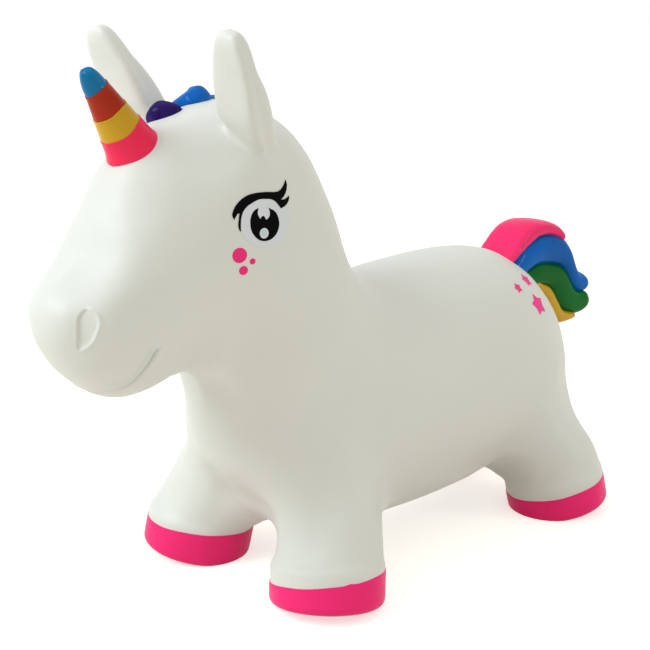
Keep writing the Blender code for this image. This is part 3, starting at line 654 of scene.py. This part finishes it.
def near_path(points, path):
    """For each point: how far the path is, its nearest place, direction there, and share of it."""
    path = np.array(path)
    best = np.full(len(points), np.inf)
    places, directions, alongs = np.zeros_like(points), np.zeros_like(points), np.zeros(len(points))
    run = 0.0
    for start, end in zip(path, path[1:]):
        span = end - start
        length = np.linalg.norm(span)
        share = np.clip((points - start) @ span / length ** 2, 0, 1)
        place = start + share[:, None] * span
        apart = np.linalg.norm(points - place, axis=1)
        closer = apart < best
        best[closer] = apart[closer]
        places[closer] = place[closer]
        directions[closer] = span / length
        alongs[closer] = run + share[closer] * length
        run += length
    return best, places, directions, alongs / run


def inside_outline(points, outline):
    """Whether each (u, v) point lies inside the closed outline."""
    inside = np.zeros(len(points), bool)
    for (u0, v0), (u1, v1) in zip(outline, np.roll(outline, -1, axis=0)):
        crosses = (v0 > points[:, 1]) != (v1 > points[:, 1])
        with np.errstate(divide="ignore", invalid="ignore"):
            inside ^= crosses & (points[:, 0] < u0 + (points[:, 1] - v0) / (v1 - v0) * (u1 - u0))
    return inside


def nostril_lift(folded):
    """How far the skin rises about the nostril.

    It is a teardrop, steep at its fore edge, that slopes up to a faint rim.
    """
    across = RISE.cross(NOSTRIL_OUT)
    flat = (folded - np.array(NOSTRIL)) @ np.array([across, RISE]).T
    corners = [(u * MM, v * MM, 0) for u, v in NOSTRIL_OUTLINE]
    outline = np.array([point[:] for point in smooth_path(corners, NOSTRIL_SLICES, closed=True)])
    padded = np.hstack([flat, np.zeros((len(flat), 1))])
    turn = NOSTRIL_LAST_FORE * NOSTRIL_SLICES
    fore_apart = near_path(padded, outline[:turn + 1])[0]
    aft_apart = near_path(padded, outline[turn:])[0]
    share = aft_apart / (fore_apart + aft_apart).clip(1e-9)
    hollow = -NOSTRIL_DEPTH * share ** NOSTRIL_BOW * smoothstep(fore_apart, *NOSTRIL_WALL)
    hollow = hollow * inside_outline(flat, outline[:, :2])
    rim = NOSTRIL_RIM * np.exp(-(aft_apart / NOSTRIL_RIM_WIDTH) ** 2)
    rim = rim * smoothstep(fore_apart, *NOSTRIL_RIM_START)
    return (hollow + rim) * (distances(folded, NOSTRIL) < NOSTRIL_REACH)


def mouth_lift(folded, normals, path):
    """How far the skin rises about the mouth: a lip over a deep groove, dying out at both ends."""
    apart, places, directions, along = near_path(folded, path)
    upwards = np.cross(normals, directions)
    above = np.sign(((folded - places) * upwards).sum(axis=1)) * apart
    fade = MOUTH_CHIN + (1 - MOUTH_CHIN) * smoothstep(along, *MOUTH_GROWS)
    fade = fade * (1 - smoothstep(along, *MOUTH_DIES))
    lip = LIP_RISE * np.exp(-((above - LIP_MIDDLE) / LIP_WIDTH) ** 2)
    groove = -LIP_GROOVE * np.exp(-((above + LIP_MIDDLE) / LIP_WIDTH) ** 2)
    return (lip + groove) * fade


def refine(bm, mouth, reach):
    """One finer step of faces about the nostrils and within reach of the mouth."""
    points = folded_left(np.array([vert.co[:] for vert in bm.verts]))
    near = distances(points, NOSTRIL) < NOSTRIL_RADIUS + reach
    near |= near_path(points, mouth)[0] < reach
    for vert, wanted in zip(bm.verts, near):
        vert.tag = bool(wanted)
    edges = [edge for edge in bm.edges if edge.verts[0].tag and edge.verts[1].tag]
    bmesh.ops.subdivide_edges(bm, edges=edges, cuts=1, use_grid_fill=True)


def skin_mesh():
    """The whole skin, with its nostrils, its mouth and the well for the valve's port."""
    mesh = grown_skin()
    put_points(mesh, fit_legs(points_of(mesh)))
    points = points_of(mesh)
    low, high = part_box("valve_port")
    middle = (low + high) / 2
    apart = np.hypot(points[:, 0] - middle.x, points[:, 1] - middle.y)
    flat = (1 - smoothstep(apart, *PORT_FLAT)) * (points[:, 2] < PORT_UNDER)
    points[:, 2] += (low.z + PORT_SUNK - points[:, 2]) * flat
    put_points(mesh, points)
    tree = tree_of(mesh)
    path = smooth_path([Vector(point) * MM for point in MOUTH], MOUTH_SLICES)
    mouth = [tuple(tree.find_nearest(point)[0]) for point in path]
    bm = bmesh.new()
    bm.from_mesh(mesh)
    trim_legs(bm)
    for reach in RELIEF_REACHES:
        refine(bm, mouth, reach)
    mesh = mesh_from(bm)
    points, edges = points_of(mesh), edges_of(mesh)
    folded = folded_left(points)
    close = np.minimum(distances(folded, NOSTRIL) - NOSTRIL_RADIUS, near_path(folded, mouth)[0])
    weights = PULL * (1 - smoothstep(close, *RELIEF_SOFT))
    points = smoothed(points, edges, RELIEF_PASSES, weights)
    put_points(mesh, points)

    normals = values_of(mesh.vertices, "normal", 3)
    folded, folded_normals = folded_left(points), normals.copy()
    folded_normals[:, 0] *= np.where(points[:, 0] < 0, -1, 1)
    lift = nostril_lift(folded) + mouth_lift(folded, folded_normals, mouth)
    put_points(mesh, points + normals * lift[:, None])
    well = rod(-WELL_BELOW, high.z - low.z + WELL_ABOVE, WELL_RADIUS,
               Vector((middle.x, middle.y, low.z)), RISE, WELL_POINTS)
    return cut_out(mesh, loft(well))


# Camera, floor and light


def aim(thing, place, target):
    thing.location = place
    thing.rotation_euler = (place - target).to_track_quat("Z", "Y").to_euler()


def add_camera():
    turn, lift = math.radians(CAMERA_AZIMUTH), math.radians(CAMERA_ELEVATION)
    level = math.cos(lift)
    back = Vector((math.sin(turn) * level, -math.cos(turn) * level, math.sin(lift)))
    data = bpy.data.cameras.new("camera")
    data.lens = CAMERA_LENS
    data.sensor_width = CAMERA_SENSOR
    camera = add_object("camera", data)
    aim(camera, TARGET + back * CAMERA_DISTANCE, TARGET)
    bpy.context.scene.camera = camera


def add_lamp(name, place, width, height, power, colour):
    data = bpy.data.lights.new(name, "AREA")
    data.color = colour
    data.shape = "ELLIPSE"
    data.size, data.size_y = width, height
    data.energy = power
    aim(add_object(name, data), Vector(place), LIT_PLACE)


def seen_directly(nodes, links):
    """1 for camera, glossy and transmission rays, else 0."""
    path = nodes.new("ShaderNodeLightPath")
    total = path.outputs["Is Camera Ray"]
    for name in ("Is Glossy Ray", "Is Transmission Ray"):
        add = nodes.new("ShaderNodeMath")
        add.operation = "ADD"
        add.use_clamp = True
        links.new(total, add.inputs[0])
        links.new(path.outputs[name], add.inputs[1])
        total = add.outputs["Value"]
    return total


def add_world():
    world = bpy.data.worlds.new("studio")
    world.use_nodes = True
    bpy.context.scene.world = world
    nodes, links = world.node_tree.nodes, world.node_tree.links
    nodes.clear()
    mix = nodes.new("ShaderNodeMixShader")
    links.new(seen_directly(nodes, links), mix.inputs["Fac"])
    for socket, colour, strength in ((1, STUDIO_COLOUR, STUDIO_STRENGTH), (2, WHITE, 1.0)):
        light = nodes.new("ShaderNodeBackground")
        light.inputs["Color"].default_value = colour
        light.inputs["Strength"].default_value = strength
        links.new(light.outputs["Background"], mix.inputs[socket])
    output = nodes.new("ShaderNodeOutputWorld")
    links.new(mix.outputs["Shader"], output.inputs["Surface"])


def add_floor():
    made = bpy.data.materials.new("floor_white")
    made.use_nodes = True
    nodes, links = made.node_tree.nodes, made.node_tree.links
    nodes.clear()
    matt = nodes.new("ShaderNodeBsdfDiffuse")
    matt.inputs["Color"].default_value = FLOOR_COLOUR
    glow = nodes.new("ShaderNodeEmission")
    share = nodes.new("ShaderNodeMath")
    share.operation = "MULTIPLY"
    share.inputs[1].default_value = FLOOR_GLOW
    add = nodes.new("ShaderNodeAddShader")
    output = nodes.new("ShaderNodeOutputMaterial")
    links.new(seen_directly(nodes, links), share.inputs[0])
    links.new(share.outputs["Value"], glow.inputs["Strength"])
    links.new(matt.outputs["BSDF"], add.inputs[0])
    links.new(glow.outputs["Emission"], add.inputs[1])
    links.new(add.outputs["Shader"], output.inputs["Surface"])
    bm = bmesh.new()
    bmesh.ops.create_grid(bm, x_segments=1, y_segments=1, size=FLOOR_HALF)
    floor = add_object("floor", mesh_from(bm))
    floor.data.materials.append(made)


# Horn, mane and tail, over the CAD's

HORN_FOOT = Vector((0.0, -0.2680, 0.4003))
HORN_LEAN = 34.0
HORN_LENGTH = 0.080
HORN_FOOT_RADIUS = 0.0225
HORN_TIP_RADIUS = 0.006
HORN_ROOT = 0.018
HORN_LIP = 0.0006
HORN_OVERLAP = 0.004  # of a ring's foot inside the ring below it
HORN_BANDS = (0.00, 0.27, 0.49, 0.75, 0.98)
# Each ring: name, paint, slot, and how far and towards which compass angle its upper edge tilts up.
HORN_RINGS = (
    ("horn_ring_pink", "rose", "paint_pink", 0.0012, 60.0),
    ("horn_ring_yellow", "yellow", "paint_yellow", 0.0010, 30.0),
    ("horn_ring_orange", "orange", "paint_orange", 0.0016, 50.0),
    ("horn_tip_sky", "sky", "paint_sky", 0.0, 0.0),
)
HORN_RIPPLES = ((0.0004, 3, 1.7), (0.0003, 5, 1.0))  # height, number round it, shift for each ring
HORN_FLARE = ((0.0026, -HORN_ROOT), (0.0024, -0.006), (0.0012, 0.0))  # out of the foot, and height
HORN_SEAT = ((-1.0, -HORN_OVERLAP), (-0.4, 0.0))  # out of the foot in lips, and height
HORN_SIDE = ((0.45, 0.45), (0.76, 0.78))  # shares of the way up a ring: for its radius, its height
# Rim of a ring: out, in lips, and down from its top.
HORN_RIM = ((0.9, 0.0020), (1.0, 0.0010), (0.7, 0.0002), (-0.2, 0.0), (-4.0, 0.0))
# Shares of the foot's radius and of the length, up the horn's tip.
HORN_TIP = ((0.93, 0.25), (0.80, 0.55), (0.66, 0.76), (0.50, 0.90), (0.28, 0.98), (0.08, 1.0))
HORN_SLICES = 4

SKULL = Vector((0.0, -0.174, 0.345))  # inside the head
# Each lock: name, paint, width, height, how much higher its hump is than the rest, and directions
# from the skull.
LOCKS = (
    ("forelock_purple", "purple", 0.95, 1.20, 0.0,
     ((-0.33, -0.62, 0.80), (-0.22, -0.555, 0.81), (-0.12, -0.515, 0.84), (-0.03, -0.44, 0.89))),
    ("mane_lock_blue", "blue", 1.00, 1.10, 0.30,
     ((-0.21, -0.43, 0.88), (-0.19, -0.30, 0.93), (-0.16, -0.16, 0.97), (-0.34, 0.02, 0.94))),
    ("mane_lock_sky", "sky", 0.80, 1.10, 0.15,
     ((-0.20, -0.04, 1.00), (-0.36, 0.26, 0.96), (-0.60, 0.48, 0.72), (-0.84, 0.58, 0.44))),
    ("mane_lock_violet", "purple", 1.05, 1.00, 0.15,
     ((-0.16, 0.34, 0.94), (-0.34, 0.60, 0.74), (-0.60, 0.80, 0.44), (-0.90, 0.84, 0.10))),
    ("mane_lock_pink", "pink", 1.00, 1.00, 0.15,
     ((-0.20, 0.66, 0.64), (-0.34, 0.88, 0.34), (-0.62, 0.96, 0.00), (-0.92, 0.92, -0.34))),
    ("mane_lock_blue_low", "blue", 1.05, 1.00, 0.15,
     ((-0.18, 0.90, 0.28), (-0.34, 1.02, -0.04), (-0.62, 1.02, -0.36), (-0.90, 0.90, -0.66))),
)
LOCK_WIDTH = 0.026
LOCK_HEIGHT = 0.010
LOCK_SLICES = 12
LOCK_POINTS = 40
LOCK_END = 0.04  # share of its width at its ends
LOCK_TAPER = 0.8  # below 1 its ends are fuller
LOCK_HUMP = (0.66, 0.13)  # place along the lock, and reach
LOCK_DIP = (0.30, 0.20)
FURROWS = 6  # round the lock, half of them on its back
FURROW_DEPTH = 0.07

TAIL_ROOT = Vector((0.0, 0.202, 0.226))
TAIL_LENGTH = 0.160
TAIL_WIDTH = 0.050
# Each strand: name, paint, width, and its curve: aft and rise as shares of the tail's length, and
# half its thickness in millimetres.
TAIL_STRANDS = (
    ("tail_strand_blue", "blue", 1.04,
     ((-0.038, 0.040, 12.0), (0.077, 0.100, 16.5), (0.135, 0.128, 17.4), (0.214, 0.153, 17.2),
      (0.287, 0.168, 18.9), (0.370, 0.167, 19.9), (0.447, 0.156, 19.8), (0.513, 0.130, 18.0),
      (0.573, 0.084, 14.7), (0.615, 0.024, 11.9), (0.656, -0.039, 10.7), (0.706, -0.093, 11.2),
      (0.771, -0.121, 12.6), (0.828, -0.131, 9.8), (0.862, -0.128, 4.5))),
    ("tail_strand_pink", "pink", 0.98,
     ((-0.110, 0.105, 6.0), (-0.008, 0.170, 6.9), (0.050, 0.211, 8.7), (0.104, 0.248, 10.8),
      (0.166, 0.282, 11.7), (0.236, 0.305, 10.5), (0.306, 0.309, 9.2), (0.378, 0.302, 8.7),
      (0.444, 0.283, 8.4), (0.490, 0.257, 7.5), (0.530, 0.222, 6.2), (0.563, 0.175, 4.5))),
    ("tail_strand_green", "green", 1.00,
     ((0.094, -0.032, 14.5), (0.216, -0.004, 14.5), (0.266, 0.006, 15.6), (0.329, 0.005, 15.9),
      (0.405, -0.011, 15.8), (0.476, -0.039, 17.9), (0.520, -0.074, 20.0), (0.556, -0.122, 20.3),
      (0.600, -0.177, 19.4), (0.657, -0.222, 17.4), (0.720, -0.248, 15.9), (0.785, -0.252, 15.2),
      (0.843, -0.232, 13.0), (0.885, -0.205, 6.0))),
    ("tail_strand_yellow", "yellow", 0.94,
     ((0.198, -0.017, 6.5), (0.303, -0.085, 7.5), (0.386, -0.138, 10.6), (0.450, -0.221, 12.0),
      (0.518, -0.305, 11.7), (0.587, -0.331, 8.6), (0.667, -0.337, 5.6), (0.733, -0.337, 3.5))),
)
STRAND_SQUARENESS = 0.80  # below 1 the section's corners fill out
STRAND_END = 0.14  # share of a strand over which its end is rounded off
STRAND_ROUNDING = 0.94  # below 1, so that its last ring has a size
STRAND_SLICES = 8
STRAND_POINTS = 56


def horn_wave(number, tilt, highest):
    def wave(angle):
        ripples = sum(h * math.sin(n * angle + shift * number) for h, n, shift in HORN_RIPPLES)
        return tilt * math.cos(angle - math.radians(highest)) + ripples
    return wave


def horn_mesh(number, wave):
    """One ring: a tapered drum with a soft lip at its top, over the foot of the next ring."""
    low, high = HORN_BANDS[number], HORN_BANDS[number + 1]
    length = HORN_LENGTH * (high - low)
    foot = HORN_FOOT_RADIUS + (HORN_TIP_RADIUS - HORN_FOOT_RADIUS) * low
    top = HORN_FOOT_RADIUS + (HORN_TIP_RADIUS - HORN_FOOT_RADIUS) * high
    lean = math.radians(HORN_LEAN)
    axis = Vector((0.0, -math.sin(lean), math.cos(lean)))
    if number == 0:
        outline = [(foot + out, height) for out, height in HORN_FLARE]
    else:
        outline = [(foot + out * HORN_LIP, height) for out, height in HORN_SEAT]
    if number < len(HORN_RINGS) - 1:
        outline += [(foot + (top - foot) * in_share, length * up) for in_share, up in HORN_SIDE]
        outline += [(top + out * HORN_LIP, length - down) for out, down in HORN_RIM]
    else:
        outline += [(foot * share, length * up) for share, up in HORN_TIP]
    smooth = outline[:1] + smooth_outline(outline[1:], HORN_SLICES)
    profile = [(radius, height, min(1.0, max(0.0, height / length))) for radius, height in smooth]
    base = HORN_FOOT + axis * HORN_LENGTH * low
    return loft(turned_rings(profile, base, axis, ROUND_POINTS, wave))


def bell(share, middle, reach):
    return math.exp(-((share - middle) / reach) ** 2)


def lock_mesh(tree, width, height, hump, directions):
    """A tapering lock of mane laid along the skin, with shallow furrows down its back."""
    found = []
    for direction in directions:
        direction = Vector(direction).normalized()
        found.append(tree.ray_cast(SKULL + direction * REACH, -direction)[0])
    places = smooth_path(found, LOCK_SLICES)
    rings = []
    for number, place in enumerate(places):
        before, after = places[max(number - 1, 0)], places[min(number + 1, len(places) - 1)]
        along = (after - before).normalized()
        near = tree.find_nearest(place)[0]
        across = along.cross(place - SKULL).normalized()
        up = across.cross(along)
        share = number / (len(places) - 1)
        swell = LOCK_END + (1 - LOCK_END) * math.sin(math.pi * share) ** LOCK_TAPER
        rise = height * (1 + hump * (bell(share, *LOCK_HUMP) - bell(share, *LOCK_DIP)))
        ring = []
        for angle in turns(LOCK_POINTS):
            furrow = FURROW_DEPTH * (1 - math.cos(FURROWS * angle)) / 2
            kept = 1.0 - furrow * max(0.0, math.sin(angle)) * swell
            ring.append(near + across * width / 2 * swell * math.cos(angle) * kept
                        + up * rise * swell * math.sin(angle) * kept)
        rings.append(ring)
    return loft(rings)


def strand_mesh(width, curve):
    """One strand of the tail: a soft-cornered oval swept over and down the rump."""
    rows = smooth_path(curve, STRAND_SLICES)
    places = [TAIL_ROOT + TAIL_LENGTH * (AFT * aft + RISE * rise) for aft, rise, _ in rows]
    last = len(places) - 1
    rings = []
    for number, place in enumerate(places):
        before, after = places[max(number - 1, 0)], places[min(number + 1, last)]
        up = SIDE.cross((after - before).normalized())
        share = max(0.0, (number / last - 1 + STRAND_END) / STRAND_END)
        swell = math.sqrt(1 - STRAND_ROUNDING * share ** 2)
        ring = []
        for angle in turns(STRAND_POINTS):
            across, lift = (math.copysign(abs(part) ** STRAND_SQUARENESS, part)
                            for part in (math.cos(angle), math.sin(angle)))
            ring.append(place + SIDE * TAIL_WIDTH / 2 * width * swell * across
                        + up * rows[number][2] * MM * swell * lift)
        rings.append(ring)
    return loft(rings)


# Prints

PRINT_GRID = 0.002
SAME_PLACE = 1e-7
STROKE_SLICES = 5
OVAL_POINTS = 64
EYE_AIM = Vector((0.050, -0.180, 0.341))
EYE_TURN = 32.0
EYE_TILT = 6.0
# Of the ovals the middle and half sizes, of the strokes places, in millimetres towards the tail and
# up from the eye's middle.
EYE_WHITE = (-1.7, -1.0, 21.3, 19.5)
EYE_LIGHT = (-2.9, -9.2, 3.8, 4.2)
EYE_LIGHT_MIDDLE = (-2.9, -9.2, 2.5, 2.7)
IRIS_STROKES = (
    ((-7.4, 11.2), (-11.3, 9.1), (-14.0, 4.7), (-14.7, -0.6), (-13.8, -6.4), (-10.9, -11.2),
     (-6.8, -14.5), (-2.2, -15.6), (3.2, -14.4), (7.6, -10.7), (9.8, -6.1), (10.4, -1.5),
     (9.1, 4.0), (6.3, 8.1), (0.9, 10.9)),
    ((0.9, 10.9), (2.1, 8.4), (2.2, 5.0), (0.7, 2.5), (-1.1, 1.5)),
    ((-1.1, 1.5), (-2.2, 3.7), (-3.6, 4.7), (-5.1, 3.8), (-5.8, 2.2)),
    ((-5.8, 2.2), (-7.6, 5.0), (-8.2, 7.6), (-7.4, 11.2)),
)
LASH_STROKES = (
    ((-28.2, 2.9), (-29.7, 6.8), (-27.8, 11.9), (-24.9, 15.7), (-20.5, 19.4), (-14.9, 22.0),
     (-7.8, 23.2), (0.2, 23.4), (7.5, 23.1), (11.2, 24.1), (14.2, 26.9), (16.0, 30.1),
     (17.0, 32.4)),
    ((17.0, 32.4), (18.0, 29.4), (17.9, 26.0), (16.7, 22.1), (14.4, 18.6), (12.1, 16.8)),
    ((12.1, 16.8), (15.4, 16.9), (18.2, 18.4), (19.6, 19.6)),
    ((19.6, 19.6), (19.7, 17.3), (18.4, 14.1), (15.6, 11.3), (11.9, 9.7)),
    ((11.9, 9.7), (10.1, 12.2), (7.3, 15.4), (3.7, 17.4), (-1.4, 17.9), (-5.8, 18.0), (-9.4, 16.9),
     (-13.7, 14.8), (-17.6, 12.4), (-20.5, 9.0), (-22.1, 4.5), (-22.7, -0.1), (-22.8, -6.7)),
    ((-22.8, -6.7), (-24.1, -5.3), (-24.9, -1.3), (-24.2, 3.9), (-23.6, 7.8)),
    ((-23.6, 7.8), (-25.2, 7.3), (-26.6, 5.4), (-28.2, 2.9)),
)
# Each dot: name, middle as above, and radius in millimetres.
CHEEK_DOTS = (
    ("large", -24.0, -25.5, 6.3),
    ("small", -12.8, -31.2, 2.5),
    ("middle", -20.6, -38.0, 3.8),
)
DOT_SQUASH = 0.97
# Each star: name, place on the left of the rump, the way out of the skin there, radius in
# millimetres and turn.
STARS = (
    ("large", (0.0789, 0.1658, 0.2175), (0.815, 0.224, 0.534), 12.4, 93.0),
    ("middle", (0.0603, 0.1696, 0.2386), (0.641, 0.279, 0.715), 8.6, 84.0),
    ("small", (0.0702, 0.1437, 0.2364), (0.740, 0.130, 0.659), 6.4, 98.0),
)
STAR_CORNERS = 5
STAR_WAIST = 0.61  # share of its radius between its corners
# Bottom and top of each film, in millimetres off the skin.
UNDER_FILM = (0.06, 0.22)
INK_FILM = (0.24, 0.36)
LIGHT_FILM = (0.38, 0.48)
TOP_FILM = (0.50, 0.58)


def oval(across, up, half_across, half_up):
    return [(across + half_across * math.cos(angle), up + half_up * math.sin(angle))
            for angle in turns(OVAL_POINTS)]


def stroked(strokes):
    """A closed outline of smooth strokes with corners between them."""
    return [point for stroke in strokes for point in smooth_outline(stroke, STROKE_SLICES)[:-1]]


def star_outline(radius, turn):
    outline = []
    for step in range(2 * STAR_CORNERS):
        angle = math.radians(turn + 180 / STAR_CORNERS * step)
        reach = radius * (1 if step % 2 == 0 else STAR_WAIST)
        outline.append((reach * math.cos(angle), reach * math.sin(angle)))
    return outline


def skin_frame(side, place, out):
    """Axes on the skin, towards the tail, up, and out of it, from those of the left side."""
    place = Vector((side * place[0], *place[1:]))
    out = Vector((side * out[0], *out[1:])).normalized()
    aft = RISE.cross(out).normalized() * side
    up = out.cross(aft) * side
    return Matrix.Translation(place) @ Matrix((aft, up, out)).transposed().to_4x4()


def film_mesh(tree, axes, outline, film):
    """A thin printed film on the skin, inside an outline in millimetres."""
    low, high = film
    outline = np.array(outline) * MM
    columns, rows = (np.arange(part.min(), part.max(), PRINT_GRID) for part in outline.T)
    grid = np.stack(np.meshgrid(columns, rows), axis=-1).reshape(-1, 2)
    grid = grid[inside_outline(grid, outline)]
    spaced = np.linalg.norm(grid[:, None] - outline[None], axis=2).min(axis=1) > PRINT_GRID / 2
    flat = [Vector(point) for point in np.vstack([outline, grid[spaced]])]
    ring = list(range(len(outline)))
    verts, _, faces, *_ = delaunay_2d_cdt(flat, [], [ring], 1, SAME_PLACE)
    out = axes.to_3x3() @ RISE
    bm = bmesh.new()
    tops, bottoms = [], []
    for vert in verts:
        hit, normal, *_ = tree.ray_cast(axes @ Vector((vert.x, vert.y, REACH)), -out)
        tops.append(bm.verts.new(hit + normal * (high * MM)))
        bottoms.append(bm.verts.new(hit + normal * (low * MM)))
    uses = {}
    for face in faces:
        bm.faces.new([tops[corner] for corner in face])
        bm.faces.new([bottoms[corner] for corner in reversed(face)])
        for start, end in zip(face, face[1:] + face[:1]):
            uses.setdefault(frozenset((start, end)), []).append((start, end))
    for pairs in uses.values():
        if len(pairs) == 1:
            start, end = pairs[0]
            bm.faces.new((tops[end], tops[start], bottoms[start], bottoms[end]))
    return mesh_from(bm)


def add_prints(tree):
    turn, tilt = math.radians(EYE_TURN), math.radians(EYE_TILT)
    level = math.cos(tilt)
    eye_out = Vector((math.cos(turn) * level, -math.sin(turn) * level, math.sin(tilt)))
    eye = (
        ("eye_white", oval(*EYE_WHITE), "white", "white", UNDER_FILM, True),
        ("eye_iris", stroked(IRIS_STROKES), "black", "black", INK_FILM, True),
        ("eye_lash", stroked(LASH_STROKES), "black", "black", INK_FILM, True),
        ("eye_light", oval(*EYE_LIGHT), "white", "white", LIGHT_FILM, False),
        ("eye_light_middle", oval(*EYE_LIGHT_MIDDLE), "pale", "white", TOP_FILM, False),
    )
    for side, name in SIDES:
        axes = skin_frame(side, EYE_AIM, eye_out)
        for part, outline, ink_name, slot, film, replacing in eye:
            node = f"{name}_{part}"
            add_piece(f"{node}_print", film_mesh(tree, axes, outline, film), f"print_{ink_name}",
                      [node] if replacing else [])
        for part, across, up, radius in CHEEK_DOTS:
            mesh = film_mesh(tree, axes, oval(across, up, radius, radius * DOT_SQUASH), UNDER_FILM)
            add_piece(f"{name}_cheek_dot_{part}", mesh, "print_pink")
        for part, place, out, radius, star_turn in STARS:
            there = skin_frame(side, place, out)
            mesh = film_mesh(tree, there, star_outline(radius, star_turn), UNDER_FILM)
            # The stars take a lighter copy of the dots' pink, painted light for where they face up on
            # the rump.
            add_piece(f"{name}_star_{part}", mesh, "print_pink_painted_light")


def build():
    add_camera()
    add_world()
    add_floor()
    for lamp in LAMPS:
        add_lamp(*lamp)
    zones = ["torso", "neck", "head", "left_ear", "right_ear"]
    zones += [f"{name}_leg" for _, _, name in LEGS]
    skin = add_piece("inflated_skin", skin_mesh(), "vinyl", zones)
    tree = tree_of(skin.data)
    for side, end, name in LEGS:
        hoof = hoof_mesh(side, end, hoof_wave(*HOOF_EDGES[name]))
        add_piece(f"{name}_hoof_painted", hoof, "hoof", [f"{name}_hoof"])
    for number, (name, paint_name, slot, tilt, highest) in enumerate(HORN_RINGS):
        ring = horn_mesh(number, horn_wave(number, tilt, highest))
        add_piece(f"{name}_glossy", ring, paint_name, [name])
    for name, paint_name, width, height, hump, directions in LOCKS:
        lock = lock_mesh(tree, LOCK_WIDTH * width, LOCK_HEIGHT * height, hump, directions)
        add_piece(f"{name}_glossy", lock, paint_name, [name])
    for name, paint_name, width, curve in TAIL_STRANDS:
        strand = strand_mesh(width, curve)
        add_piece(f"{name}_glossy", strand, paint_name, [name])
    add_prints(tree)
    for name in ("valve_port", "valve_plug"):
        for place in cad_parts[name].material_slots:
            place.material = PAINTS["valve"]


build()
bpy.context.scene.view_settings.view_transform = "Standard"
